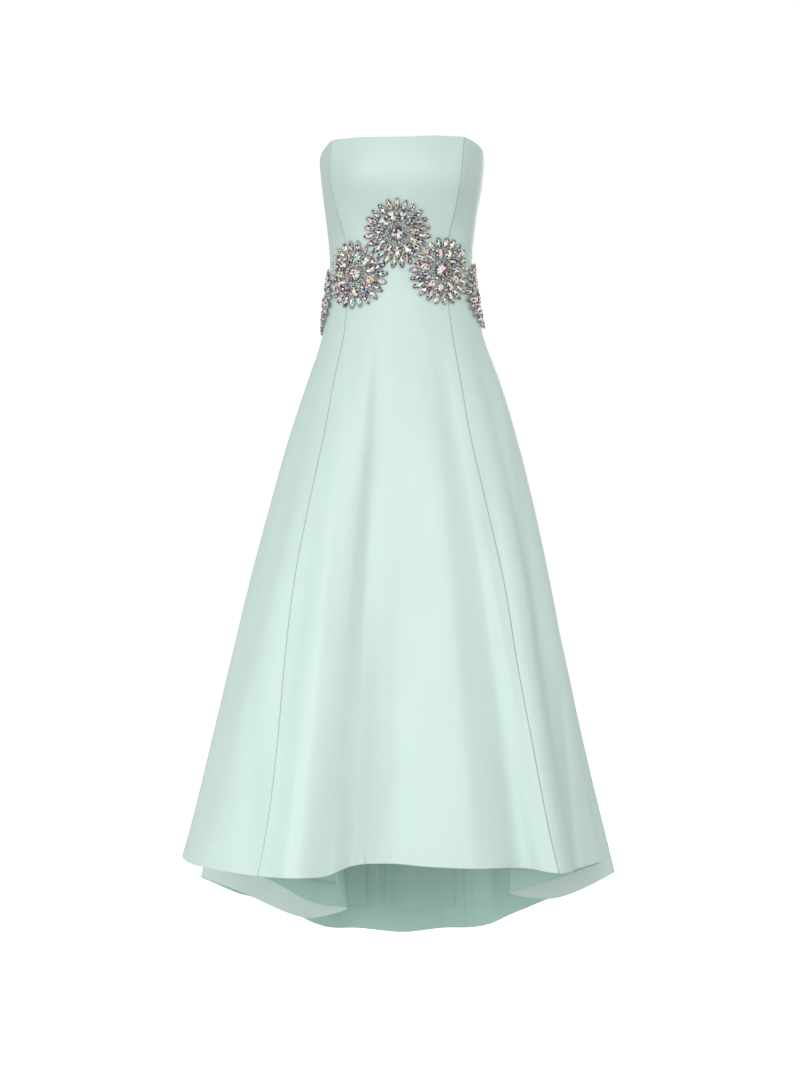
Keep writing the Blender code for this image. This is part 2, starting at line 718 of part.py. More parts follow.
def main():
    for old in list(bpy.data.objects):
        bpy.data.objects.remove(old)
    dress = bpy.data.objects.new("dress", None)
    bpy.context.scene.collection.objects.link(dress)
    for name, from_seam, to_seam, columns in PANELS:
        wall(name, *panel_skins(from_seam, to_seam, columns), "satin", dress)
    flowers(dress)
    zip_strip("zip_tape_left", -TAPE_EDGE, -TAPE_INNER, TAPE_THICK, "zip_tape", dress)
    zip_strip("zip_tape_right", TAPE_INNER, TAPE_EDGE, TAPE_THICK, "zip_tape", dress)
    zip_strip("zip_coil", -COIL_HALF, COIL_HALF, COIL_THICK, "zip_tape", dress)
    zip_slider(dress)
    zip_pull(dress)


main()
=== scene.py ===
# %% [markdown]
# # A strapless evening dress in duchess satin, with crystal flowers at the waist
#
# The real dress is cut as seven long panels that run from the top edge to the hem, so that the seams alone
# give it its waist and its flare. Stiff satin bends in long soft folds, and holds them. This lesson draws
# each panel as a thin closed shell, sets the stones of five sewn flowers on it with Geometry Nodes, and
# ends with the zip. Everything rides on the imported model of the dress, which stays where it is.

import math

import bmesh
import bpy
import numpy as np
from mathutils import Matrix, Vector
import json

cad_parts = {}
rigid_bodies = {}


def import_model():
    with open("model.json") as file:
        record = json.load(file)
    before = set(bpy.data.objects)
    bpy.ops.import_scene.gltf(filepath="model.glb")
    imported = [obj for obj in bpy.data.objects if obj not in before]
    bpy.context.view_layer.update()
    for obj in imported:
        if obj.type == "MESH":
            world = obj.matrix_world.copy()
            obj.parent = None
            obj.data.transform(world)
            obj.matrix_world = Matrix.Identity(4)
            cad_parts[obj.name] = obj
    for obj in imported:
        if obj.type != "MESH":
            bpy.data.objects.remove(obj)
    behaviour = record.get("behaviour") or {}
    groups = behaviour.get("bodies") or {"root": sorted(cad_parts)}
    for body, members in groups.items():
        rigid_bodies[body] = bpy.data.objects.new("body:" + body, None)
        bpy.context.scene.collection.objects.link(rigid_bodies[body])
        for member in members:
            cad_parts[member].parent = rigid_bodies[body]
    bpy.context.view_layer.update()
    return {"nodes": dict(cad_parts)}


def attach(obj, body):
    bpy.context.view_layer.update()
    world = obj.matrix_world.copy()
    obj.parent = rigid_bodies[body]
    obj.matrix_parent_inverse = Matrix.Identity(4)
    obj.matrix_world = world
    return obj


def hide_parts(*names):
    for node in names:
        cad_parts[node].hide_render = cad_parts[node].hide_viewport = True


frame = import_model()
for old in list(bpy.data.objects):
    if old.type in ("LIGHT", "CAMERA"):
        bpy.data.objects.remove(old)
print("nodes in the frame:", len(frame["nodes"]))

# %% [markdown]
# ## Camera
#
# A catalogue picture of a dress is taken from far away with a long lens, level with the middle of the
# dress, so that its sides stay straight. The camera could be placed by eye, but the picture gives its own
# measure: 800 by 1067 points, with 1.68 mm of the dress to a point at four metres. The lens follows from
# these numbers.

# %% Place the camera
PICTURE_HIGH = 1067  # the picture's longer side, in points, which the sensor's width goes with
METRES_A_POINT = 0.00168
CAMERA_AWAY = 4.0
CAMERA_LEVEL = -0.463
SENSOR = 36  # millimetres


def put_in_scene(name, data):
    """An object made of a mesh, a light or a lens, and linked to the scene."""
    made = bpy.data.objects.new(name, data)
    bpy.context.scene.collection.objects.link(made)
    return made


lens = bpy.data.cameras.new("long_lens")
lens.sensor_width = SENSOR
lens.lens = SENSOR * CAMERA_AWAY / (PICTURE_HIGH * METRES_A_POINT)
camera = put_in_scene("long_lens", lens)
camera.location = (0, -CAMERA_AWAY, CAMERA_LEVEL)
camera.rotation_euler = (math.radians(90), 0, 0)
bpy.context.scene.camera = camera
print("focal length:", round(lens.lens, 1), "mm")

# %% [markdown]
# ## The form of the dress
#
# A dressmaker's form is known by its girths at a few levels, and a skirt by the line of its hem. The form
# could be sculpted, but tables keep it exact: one of level sections, one of the hem's crests and valleys,
# and one of the top edge. A point on the cloth is then a way round, measured along the hem, and a height.
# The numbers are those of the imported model, so that the thin cloth lies where its solid does.

# %% Smooth curves through tables
def slopes_through(knots, values, limited):
    """The slope of a smooth curve at each knot. A limited one never overshoots its rows."""
    steps = np.diff(knots)
    rises = np.diff(values) / steps
    slopes = np.empty(len(values))
    slopes[1:-1] = (rises[:-1] * steps[1:] + rises[1:] * steps[:-1]) / (steps[:-1] + steps[1:])
    slopes[0], slopes[-1] = rises[0], rises[-1]
    if limited:
        slopes[1:-1][rises[:-1] * rises[1:] <= 0] = 0.0
        most = 3 * np.minimum(np.abs(rises[:-1]), np.abs(rises[1:]))
        slopes[1:-1] = np.clip(slopes[1:-1], -most, most)
    return slopes


def smooth(at, knots, values, closed=False, limited=False):
    """A cubic curve through the rows of a table, read at any place."""
    knots, values = np.asarray(knots, float), np.asarray(values, float)
    slopes = slopes_through(knots, values, limited)
    if closed:
        before, after = knots[1] - knots[0], knots[-1] - knots[-2]
        rise_before, rise_after = (values[1] - values[0]) / before, (values[-1] - values[-2]) / after
        slopes[0] = slopes[-1] = (rise_after * before + rise_before * after) / (before + after)
    at = np.clip(np.asarray(at, float), knots[0], knots[-1])
    i = np.clip(np.searchsorted(knots, at, side="right") - 1, 0, len(knots) - 2)
    step = knots[i + 1] - knots[i]
    t = (at - knots[i]) / step
    value = values[i] * (1 + 2 * t) * (1 - t) ** 2 + values[i + 1] * t * t * (3 - 2 * t)
    return value + step * (slopes[i] * t * (1 - t) ** 2 - slopes[i + 1] * t * t * (1 - t))


def eased(at, start, end):
    """A soft step from 0 at the start to 1 at the end."""
    t = np.clip((np.asarray(at, float) - start) / (end - start), 0, 1)
    return t * t * (3 - 2 * t)


# %% Level sections of the dress without its folds
SECTION_COLUMNS = ("height", "left", "right", "front", "back", "seam_left", "seam_right")
SECTIONS = (
    (0.200, 0.1335, 0.1405, 0.120, 0.092, -0.1090, 0.1040),
    (0.155, 0.1345, 0.1415, 0.130, 0.096, -0.1105, 0.1000),
    (0.118, 0.1310, 0.1380, 0.131, 0.097, -0.1105, 0.0965),
    (0.077, 0.1260, 0.1305, 0.1205, 0.094, -0.1020, 0.0895),
    (0.037, 0.1210, 0.1250, 0.1085, 0.088, -0.0935, 0.0825),
    (0.000, 0.1178, 0.1218, 0.0995, 0.085, -0.0876, 0.0786),
    (-0.050, 0.1198, 0.1245, 0.0955, 0.092, -0.0872, 0.0786),
    (-0.100, 0.1255, 0.1330, 0.098, 0.106, -0.0890, 0.0820),
    (-0.138, 0.1325, 0.1440, 0.104, 0.115, -0.0930, 0.0870),
    (-0.205, 0.1547, 0.1720, 0.116, 0.127, -0.1073, 0.0983),
    (-0.306, 0.1875, 0.2065, 0.131, 0.142, -0.1241, 0.1159),
    (-0.407, 0.2150, 0.2350, 0.145, 0.156, -0.1425, 0.1392),
    (-0.541, 0.2495, 0.2665, 0.163, 0.177, -0.1680, 0.1695),
    (-0.676, 0.2805, 0.2940, 0.180, 0.197, -0.1853, 0.1906),
    (-0.810, 0.3115, 0.3190, 0.197, 0.217, -0.1974, 0.2150),
    (-0.944, 0.3430, 0.3480, 0.213, 0.238, -0.2143, 0.2400),
    (-1.003, 0.3590, 0.3620, 0.220, 0.247, -0.2260, 0.2535),
    (-1.200, 0.4020, 0.4060, 0.244, 0.278, -0.2600, 0.2960),
)
SECTION = dict(zip(SECTION_COLUMNS, np.array(SECTIONS[::-1]).T))
ROUNDNESS = 2.25  # exponent of the oval; 2 is an ellipse
CUP_ANGLE, CUP_SPREAD = math.radians(35), math.radians(20)
CUP_HEIGHT, CUP_REACH, CUP_DEPTH = 0.122, 0.045, 0.009


def section(height, column):
    """One column of the level sections, read at a height."""
    return smooth(height, SECTION["height"], SECTION[column])


def body(angle, height):
    """The oval of the dress without folds: x and y at an angle round it, in radians."""
    side = np.where(np.sin(angle) < 0, section(height, "left"), section(height, "right"))
    depth = np.where(np.cos(angle) > 0, section(height, "front"), section(height, "back"))
    across = np.abs(np.sin(angle) / side) ** ROUNDNESS
    along = np.abs(np.cos(angle) / depth) ** ROUNDNESS
    radius = (across + along) ** (-1 / ROUNDNESS)
    round_cup = ((np.abs(angle) - CUP_ANGLE) / CUP_SPREAD) ** 2
    up_cup = ((height - CUP_HEIGHT) / CUP_REACH) ** 2
    radius = radius + CUP_DEPTH * np.exp(-round_cup - up_cup)
    return radius * np.sin(angle), -radius * np.cos(angle)


# %% The hem's crests and valleys, and the top edge
HEM_COLUMNS = ("hip_angle", "x", "y", "z")
HEM = (
    (-180, -0.045, 0.284, -1.175),
    (-160, -0.115, 0.280, -1.171),
    (-144, -0.185, 0.270, -1.144),
    (-128, -0.275, 0.250, -1.107),
    (-114, -0.354, 0.202, -1.069),
    (-106, -0.266, 0.150, -1.093),
    (-100, -0.150, 0.098, -1.125),
    (-95, -0.090, 0.076, -1.104),
    (-91, -0.140, 0.056, -1.094),
    (-86, -0.232, 0.030, -1.044),
    (-78, -0.361, -0.038, -0.999),
    (-69, -0.345, -0.096, -1.003),
    (-59, -0.289, -0.161, -1.007),
    (-47, -0.216, -0.222, -1.008),
    (-36, -0.155, -0.254, -1.006),
    (-25, -0.108, -0.246, -1.003),
    (-17, -0.074, -0.208, -0.992),
    (-4, -0.018, -0.194, -0.991),
    (12, 0.050, -0.206, -0.995),
    (23, 0.116, -0.210, -0.997),
    (33, 0.203, -0.180, -1.001),
    (41, 0.228, -0.202, -1.003),
    (50, 0.251, -0.205, -1.005),
    (61, 0.283, -0.146, -1.007),
    (77, 0.333, -0.062, -1.007),
    (86, 0.262, -0.012, -1.041),
    (95, 0.186, 0.022, -1.070),
    (102, 0.255, 0.052, -1.085),
    (111, 0.371, 0.120, -1.049),
    (120, 0.310, 0.190, -1.087),
    (128, 0.235, 0.234, -1.125),
    (144, 0.118, 0.268, -1.168),
    (160, 0.045, 0.278, -1.174),
    (180, -0.045, 0.284, -1.175),
)
TOP_EDGE_ANGLES = (-180, -130, -95, -74, -57, -46, -28, 0, 28, 44, 60, 78, 95, 130, 180)
TOP_EDGE_MILLIMETRES = (
    148, 148, 157, 169.7, 180, 184.2, 183.8, 183.4, 186.6, 186.8, 183.2, 173.1, 160, 148, 148,
)
HEM_LINE = dict(zip(HEM_COLUMNS, np.array(HEM, float).T))
HEM_STEPS = np.linalg.norm(np.diff(np.array(HEM, float)[:, 1:], axis=0), axis=1)
HEM_LINE["along"] = np.concatenate([[0.0], np.cumsum(HEM_STEPS)])
ROUND = HEM_LINE["along"][-1]
FOLD_TOP, FOLD_EASE = -0.10, 0.06
print("hem:", round(ROUND, 3), "m round")


def hem(way, column):
    """One column of the hem's table, read at a way round."""
    return smooth(way, HEM_LINE["along"], HEM_LINE[column], closed=True)


def angle_of(way):
    """The angle round the hips, in radians, at which the line of this way starts."""
    return np.radians(smooth(way, HEM_LINE["along"], HEM_LINE["hip_angle"], limited=True))


def way_of(angle_degrees):
    """The way round at which a line leaves the hips at this angle."""
    ways = np.linspace(0, ROUND, 4001)
    return np.interp(angle_degrees, np.degrees(angle_of(ways)), ways)


def top_edge(way):
    """The height of the top edge at a way round."""
    heights = np.array(TOP_EDGE_MILLIMETRES) / 1000
    return smooth(np.degrees(angle_of(np.mod(way, ROUND))), TOP_EDGE_ANGLES, heights, limited=True)


# %% A point of the cloth, and the direction it faces
def surface(way, height):
    """The outer face of the cloth, at a way round and a height."""
    way = np.mod(way, ROUND)
    angle = angle_of(way)
    x, y = body(angle, height)
    foot = hem(way, "z")
    hem_x, hem_y = body(angle, foot)
    down = np.maximum(FOLD_TOP - height, 0.0)
    whole = FOLD_TOP - foot
    opened = (down * down / (down + FOLD_EASE)) / (whole * whole / (whole + FOLD_EASE))
    x = x + opened * (hem(way, "x") - hem_x)
    y = y + opened * (hem(way, "y") - hem_y)
    return np.stack([x, y, height + 0.0 * x], axis=-1)


def outward(way, height):
    """The unit normal of the outer face, and how many metres of cloth one metre of way is here."""
    reach = 0.001  # metres to each side
    round_it = surface(way + reach, height) - surface(way - reach, height)
    up = surface(way, height + reach) - surface(way, height - reach)
    normal = np.cross(round_it, up)
    width = np.linalg.norm(round_it, axis=-1) / (2 * reach)
    return normal / np.linalg.norm(normal, axis=-1, keepdims=True), width


front_ways = np.linspace(way_of(-78), way_of(77), 700)
back_ways = np.linspace(way_of(111), ROUND + way_of(-114), 900)
LEVELS = np.linspace(-1.17, 0.19, 69)
FRONT_X = np.array([surface(front_ways, level)[:, 0] for level in LEVELS])
BACK_X = np.array([surface(back_ways, level)[:, 0] for level in LEVELS])
FACES = {"front": (front_ways, FRONT_X), "back": (back_ways, BACK_X)}


def way_at(x, height, face):
    """The way round of the point of the front or the back that lies at x, at each height."""
    ways, table = FACES[face]
    found = [np.interp(x, row, ways) if row[-1] > row[0] else np.interp(-x, -row, ways) for row in table]
    return np.interp(height, LEVELS, np.array(found))


# %% [markdown]
# ## Folds listed one by one
#
# Satin of this weight falls in a few long soft ridges and troughs, no two alike. A cloth simulation would
# have to find them by chance; listed one by one, they stand where the real ones do. Each row of the table is
# one fold: the face it is on, where it starts and ends, its reach to the left and to the right at both ends
# and its depth at both ends, in metres. A trough has a negative depth. A fold with one short side has a
# steep flank there. Folds that can't be seen from the front are like the others, and as uneven.

# %% The table of folds
FOLD_COLUMNS = ("face", "x0", "z0", "x1", "z1", "left0", "right0", "left1", "right1", "deep0", "deep1", "bow")
FOLDS = (
    ("front", 0.118, -0.26, 0.226, -1.02, 0.024, 0.010, 0.040, 0.016, -0.002, -0.006, -0.010),
    ("front", 0.082, -0.26, 0.156, -1.02, 0.030, 0.022, 0.040, 0.036, 0.005, 0.006, -0.006),
    ("front", -0.040, -0.26, -0.114, -1.02, 0.040, 0.032, 0.040, 0.024, -0.004, -0.010, 0.000),
    ("front", -0.062, -0.55, -0.069, -1.02, 0.016, 0.022, 0.018, 0.036, 0.002, 0.006, 0.000),
    ("front", -0.103, -0.30, -0.174, -1.02, 0.022, 0.016, 0.040, 0.028, 0.003, 0.006, 0.000),
    ("front", 0.147, -0.28, 0.274, -1.02, 0.022, 0.016, 0.030, 0.018, 0.004, 0.004, -0.012),
    ("front", 0.262, -0.66, 0.290, -1.02, 0.012, 0.010, 0.020, 0.012, -0.001, -0.003, 0.000),
    ("front", -0.110, -0.24, -0.313, -1.02, 0.034, 0.034, 0.040, 0.060, 0.009, 0.007, 0.000),
    ("front", 0.160, -0.20, 0.212, -0.62, 0.026, 0.016, 0.030, 0.018, 0.003, 0.003, 0.000),
    ("front", -0.226, -0.60, -0.238, -0.98, 0.020, 0.020, 0.026, 0.026, -0.001, -0.002, 0.003),
    ("front", 0.010, -0.44, 0.004, -0.88, 0.020, 0.022, 0.030, 0.028, -0.001, -0.002, 0.004),
    ("back", -0.225, -0.30, -0.300, -1.14, 0.018, 0.014, 0.044, 0.022, -0.003, -0.010, 0.006),
    ("back", -0.120, -0.26, -0.160, -1.20, 0.016, 0.016, 0.026, 0.052, -0.003, -0.016, 0.004),
    ("back", -0.060, -0.30, -0.085, -1.20, 0.020, 0.020, 0.038, 0.030, 0.002, 0.010, -0.003),
    ("back", 0.020, -0.34, 0.010, -1.20, 0.022, 0.022, 0.040, 0.030, -0.002, -0.012, 0.005),
    ("back", 0.075, -0.28, 0.082, -1.20, 0.018, 0.018, 0.028, 0.034, 0.002, 0.009, 0.000),
    ("back", 0.130, -0.24, 0.165, -1.18, 0.016, 0.014, 0.050, 0.024, -0.003, -0.017, -0.004),
    ("back", 0.205, -0.32, 0.262, -1.12, 0.014, 0.014, 0.026, 0.030, 0.002, 0.008, 0.004),
    ("back", 0.245, -0.50, 0.318, -1.08, 0.012, 0.012, 0.022, 0.030, -0.002, -0.007, 0.002),
    ("back", -0.005, -0.17, 0.060, -0.42, 0.012, 0.012, 0.018, 0.018, -0.002, -0.001, 0.000),
    ("back", -0.200, -0.19, -0.170, -0.50, 0.012, 0.012, 0.020, 0.020, -0.002, -0.002, 0.000),
)
# Short drag lines of the bodice, where the cloth is pulled round the chest and the ribs.
DRAGS = (
    ("front", -0.119, 0.155, -0.107, 0.020, 0.006, 0.006, 0.008, 0.008, -0.0012, -0.0006, 0.0),
    ("front", -0.124, 0.120, -0.113, 0.000, 0.004, 0.004, 0.005, 0.005, 0.0007, 0.0005, 0.0),
    ("front", 0.114, 0.150, 0.101, 0.030, 0.006, 0.006, 0.007, 0.007, -0.0011, -0.0006, 0.0),
    ("front", 0.126, 0.128, 0.114, 0.012, 0.004, 0.004, 0.005, 0.005, -0.0006, -0.0005, 0.0),
    ("front", -0.062, 0.168, -0.050, 0.078, 0.014, 0.014, 0.018, 0.018, -0.0004, -0.0002, 0.002),
    ("front", 0.018, 0.172, 0.010, 0.086, 0.016, 0.016, 0.020, 0.020, 0.0004, 0.0003, 0.0),
    ("back", -0.070, 0.135, -0.045, 0.030, 0.008, 0.008, 0.014, 0.014, -0.0012, -0.0008, 0.002),
    ("back", 0.062, 0.138, 0.048, 0.020, 0.008, 0.008, 0.012, 0.012, -0.0012, -0.0008, 0.0),
    ("back", 0.100, 0.120, 0.088, 0.000, 0.006, 0.006, 0.010, 0.010, 0.0008, 0.0008, 0.0),
    ("back", -0.104, 0.125, -0.090, -0.010, 0.006, 0.006, 0.010, 0.010, 0.0008, 0.0008, 0.0),
)
WAIST_FREE = (-0.185, -0.125)  # folds fade out between these heights, so that the flowers lie flat
DRAGS_FREE = (0.06, 0.11)  # and drag lines fade in between these, above the flowers
FOLD_STARTS, FOLD_STOPS = (0, 0.28), (0.96, 1.12)  # shares of its length over which a fold rises and ends


def fold(way, height, width, row):
    """How far one fold lifts the cloth at these points."""
    row = dict(zip(FOLD_COLUMNS, row))
    t = (row["z0"] - height) / (row["z0"] - row["z1"])
    inside = np.clip(t, 0, 1)
    x_line = row["x0"] + (row["x1"] - row["x0"]) * (row["z0"] - LEVELS) / (row["z0"] - row["z1"])
    ways, table = FACES[row["face"]]
    turned = 1 if row["face"] == "front" else -1
    line = [np.interp(turned * x, turned * levels, ways) for x, levels in zip(x_line, table)]
    middle = np.interp(height, LEVELS, np.array(line))
    aside = way + ROUND * np.round((middle - way) / ROUND) - middle
    aside = aside * width + row["bow"] * np.sin(math.pi * inside)
    # The way round runs to the right on the front of the dress and to the left on its back.
    to_right = aside * turned > 0
    end0 = np.where(to_right, row["right0"], row["left0"])
    half = end0 + (np.where(to_right, row["right1"], row["left1"]) - end0) * inside
    deep = row["deep0"] + (row["deep1"] - row["deep0"]) * inside
    stops = row["z1"] > -0.95  # a fold that starts higher ends on the skirt, and any other runs off the hem
    ends = eased(t, *FOLD_STARTS) * (1 - eased(t, *FOLD_STOPS) * stops)
    return deep * ends * np.exp(-((aside / half) ** 2))


CORNER, CORNER_REACH = 0.0056, 0.044  # the bodice turns a corner at its front seams
CORNER_SOFT = 0.002  # its ridge is rounded off over this
CHEST_RADIUS = 0.135


def corner(way, height):
    """The soft corner that boning gives the bodice along the two front seams."""
    bend = 0.0
    for name in ("front_left", "front_right"):
        turned = angle_of(np.mod(way, ROUND)) - angle_of(SEAMS[name](height))
        aside = np.abs(turned) * CHEST_RADIUS
        bend = bend + np.clip(1 - np.sqrt(aside**2 + CORNER_SOFT**2) / CORNER_REACH, 0, 1) ** 2
    return CORNER * bend * eased(height, 0.015, 0.075)


WAVES = 14
wave_random = np.random.default_rng(11)
WAVE_ROUNDS = wave_random.integers(9, 30, WAVES)
WAVE_RISE = wave_random.uniform(-9, 9, WAVES)
WAVE_START = wave_random.uniform(0, 2 * math.pi, WAVES)
WAVE_SIZE = 0.00042


def lifted(way, height, width):
    """The cloth's whole relief: the folds, the drag lines and a faint waviness."""
    free = 1 - eased(height, *WAIST_FREE)
    lift = sum(fold(way, height, width, row) for row in FOLDS) * free
    lift = lift + sum(fold(way, height, width, row) for row in DRAGS) * eased(height, *DRAGS_FREE)
    lift = lift + corner(way, height)
    turns = 2 * math.pi * way / ROUND
    waves = 0.0 * way
    for rounds, rise, start in zip(WAVE_ROUNDS, WAVE_RISE, WAVE_START):
        waves = waves + np.sin(turns * rounds + rise * height + start)
    still = 1 - eased(height, -0.20, -0.12) + 0.25 * eased(height, 0.09, 0.13)
    return lift + WAVE_SIZE * waves * np.minimum(width, 1.0) * still


print("folds:", len(FOLDS), "and drag lines:", len(DRAGS))

# %% [markdown]
# ## Seams
#
# Seven panels meet in seven seams, and the centre back seam holds the zip. A seam could be a painted line,
# but a real one is a groove: each panel rolls inwards over about a millimetre and a half, because the
# allowance behind it is pressed open. So every panel gets rows of points close to its seams, and its edge
# is rolled in there. Painted shade also darkens the satin's colour along each seam, for the groove's shadow.

# %% Where the seams run
SIDE_SEAM, BACK_SEAM = 95.0, 144.0  # degrees round from the centre front


def front_seam(column):
    """A front princess seam, as a function from height to way round."""
    side = np.sign(SECTION[column][0])
    ways = np.linspace(way_of(0), way_of(80 * side), 400)
    heights = np.linspace(SECTION["height"][0], SECTION["height"][-1], 120)
    found = []
    for height in heights:
        reaches = side * surface(ways, height)[:, 0]
        found.append(np.interp(side * section(height, column), reaches, ways))
    return lambda height: np.interp(height, heights, found)


def seam_at(way):
    """A seam that keeps its way round at every height, as a function like front_seam's."""
    return lambda height: way + 0.0 * np.asarray(height, float)


SEAMS = {
    "centre_back_left": seam_at(0.0),
    "back_left": seam_at(float(way_of(-BACK_SEAM))),
    "side_left": seam_at(float(way_of(-SIDE_SEAM))),
    "front_left": front_seam("seam_left"),
    "front_right": front_seam("seam_right"),
    "side_right": seam_at(float(way_of(SIDE_SEAM))),
    "back_right": seam_at(float(way_of(BACK_SEAM))),
    "centre_back_right": seam_at(ROUND),
}
# Each panel, the seams on its two sides, and its columns of points between them.
PANELS = (
    ("back_centre_left", "centre_back_left", "back_left", 30),
    ("back_side_left", "back_left", "side_left", 88),
    ("front_side_left", "side_left", "front_left", 88),
    ("front_centre", "front_left", "front_right", 128),
    ("front_side_right", "front_right", "side_right", 78),
    ("back_side_right", "side_right", "back_right", 80),
    ("back_centre_right", "back_right", "centre_back_right", 30),
)

# %% Lines of points beside the seams and edges
CLOTH = 0.002  # satin, interlining and lining together
SEAM_GAP = 0.00008
ROLL = 0.0015  # how far from the seam a panel starts to roll in
ROLL_DEPTH = 0.0009
ALLOWANCE, ALLOWANCE_STEP = 0.017, 0.0007
TURN_UP, TURN_UP_STEP = 0.040, 0.0007
FACING, FACING_STEP = 0.045, 0.0004
BESIDE_SEAM = (0, 0.0003, 0.0008, 0.0016, 0.003, 0.006, 0.010, 0.0135, 0.0164, 0.0170, 0.0176, 0.021)
BELOW_TOP = (0, 0.0003, 0.001, 0.0025, 0.006, 0.012, 0.020, 0.030, 0.038, 0.0442, 0.0450, 0.0458, 0.052)
ABOVE_HEM = (
    0, 0.0003, 0.001, 0.0025, 0.0055, 0.009, 0.013, 0.018, 0.024, 0.031, 0.0392, 0.0400, 0.0408, 0.047,
)
MIDDLE_ROWS = 170
BEND_COUNTS = 0.012  # metres of flat cloth that a bend of one radian counts for, where columns are spread


def panel_rows():
    """Each row as a share of the hem's height, and an offset from there: height = top, hem and offset."""
    rows = [(0.0, -below) for below in BELOW_TOP]
    for k in range(1, MIDDLE_ROWS):
        share = k / MIDDLE_ROWS
        rows.append((share, -BELOW_TOP[-1] * (1 - share) + ABOVE_HEM[-1] * share))
    rows += [(1.0, above) for above in ABOVE_HEM[::-1]]
    return np.array(rows).T[:, :, None]


def places(from_seam, to_seam, across, shares, offsets):
    """The way round and the height of points across a panel, in each of its rows."""
    way = SEAMS[from_seam](0.0) * (1 - across) + SEAMS[to_seam](0.0) * across
    way = way + 0.0 * shares
    for _ in range(6):
        inside = np.clip(way, 0, ROUND)
        height = top_edge(inside) * (1 - shares) + hem(inside, "z") * shares + offsets
        way = SEAMS[from_seam](height) * (1 - across) + SEAMS[to_seam](height) * across
    return way, height


# %% [markdown]
# ## One panel of cloth
#
# The cloth could be a sheet of faces without thickness, but then the hem, the top edge and the seams would
# look like paper. Here each panel is a closed shell two millimetres thick. Its outer skin has the folds and
# rolls in at the seams. Its inner skin also shows what the maker leaves there: seam allowances pressed
# open, a hem turned up by four centimetres and a facing along the top. A UV map in metres goes with the
# cloth, for its weave.

# %% Spread the points over a panel
def panel_points(from_seam, to_seam, columns):
    """The way round and the height of every point, and its distance from the two seams."""
    shares, offsets = panel_rows()
    fine = np.linspace(0, 1, 301)[None, :]
    way, height = places(from_seam, to_seam, fine, shares, offsets)
    points = surface(way, height)
    steps = np.diff(points, axis=1)
    lengths = np.linalg.norm(steps, axis=2)
    directions = steps / lengths[:, :, None]
    turns = np.arccos(np.clip((directions[:, 1:] * directions[:, :-1]).sum(axis=2), -1, 1))
    along = np.concatenate([0 * lengths[:, :1], np.cumsum(lengths, axis=1)], axis=1)
    measure = lengths + BEND_COUNTS * np.concatenate([turns[:, :1], turns], axis=1)
    covered = np.concatenate([0 * lengths[:, :1], np.cumsum(measure, axis=1)], axis=1)
    beside = np.array(BESIDE_SEAM)
    across = []
    for row_along, row_covered in zip(along, covered):
        whole = row_along[-1]
        first, last = np.interp([beside[-1], whole - beside[-1]], row_along, row_covered)
        inner = np.interp(np.linspace(first, last, columns + 1)[1:-1], row_covered, row_along)
        offsets_here = np.concatenate([beside, inner, whole - beside[::-1]])
        across.append(np.interp(offsets_here, row_along, fine[0]))
    across = np.array(across)
    way, height = places(from_seam, to_seam, across, shares, offsets)
    distance = np.array([np.interp(a, fine[0], row) for a, row in zip(across, along)])
    return way, height, distance, along[:, -1:] - distance


# %% The small relief beside seams and edges
SEAM_PUCKER, HEM_PUCKER = 0.00034, 0.0012
CRIMP, CRIMP_REACH = 0.0024, 0.17  # the wrong side is crimped lightly, up to this height over the hem
HEM_TIGHT = ((-0.061, 0.9), (0.100, 0.6), (0.152, 0.4))  # where the front hem is drawn in most: x and share
SEAM_SHADE_HALF = 0.0010  # half width of the painted shade along a seam, which stands in for the shadow of its groove
INNER_SEAM_SHADE = 0.35  # how much of that painted shade the inner side has
SEAM_BESIDE, HEM_CLOSE = 0.007, 0.016  # how far the puckers reach from a seam, and from the hem
STITCH_LINE, STITCH_LINE_WIDE = 0.00022, 0.0022  # the hem stitches press a faint line into the outer side
EDGE_START, EDGE_DEPTH = 0.001, 0.0007  # top edge and hem are rounded off
RAW_EDGE_LIFT, RAW_EDGE_WIDE = 0.0012, 0.0014  # the raw edges of the allowances stand off a little
SEWN_DOWN, SEAM_STILL = 0.006, 0.012  # no crimps this close to a sewn edge or a seam on the inner side
BELT_LEVEL, BELT_HALF, BELT_STILL = -0.02, (0.12, 0.17), 0.6  # seams pucker less here, under the flowers


def rolled_in(from_edge, start, depth):
    """How far the outer skin lies in, close to a seam or an edge: a quarter round."""
    inside = np.clip(1 - from_edge / start, 0, 1)
    return depth * (1 - np.sqrt(np.clip(1 - inside**2, 0, 1)))


def puckers(along, seed, shortest=0.011, longest=0.031):
    """Uneven ripples along a line of stitches, between -1 and 1."""
    chance = np.random.default_rng(seed)
    total = 0.0 * along
    for _ in range(5):
        length = chance.uniform(shortest, longest)
        total = total + np.sin(2 * math.pi * along / length + chance.uniform(0, 6.28))
    return total / 3


def hem_pull(way):
    """How much the stitches draw the hem in here, as a share of the most."""
    pull = 0.22 * eased(puckers(way * 0.21, 9), -0.4, 0.9)
    for x, share in HEM_TIGHT:
        pull = pull + share * np.exp(-(((way - way_at(x, -0.99, "front")) / 0.017) ** 2))
    return pull


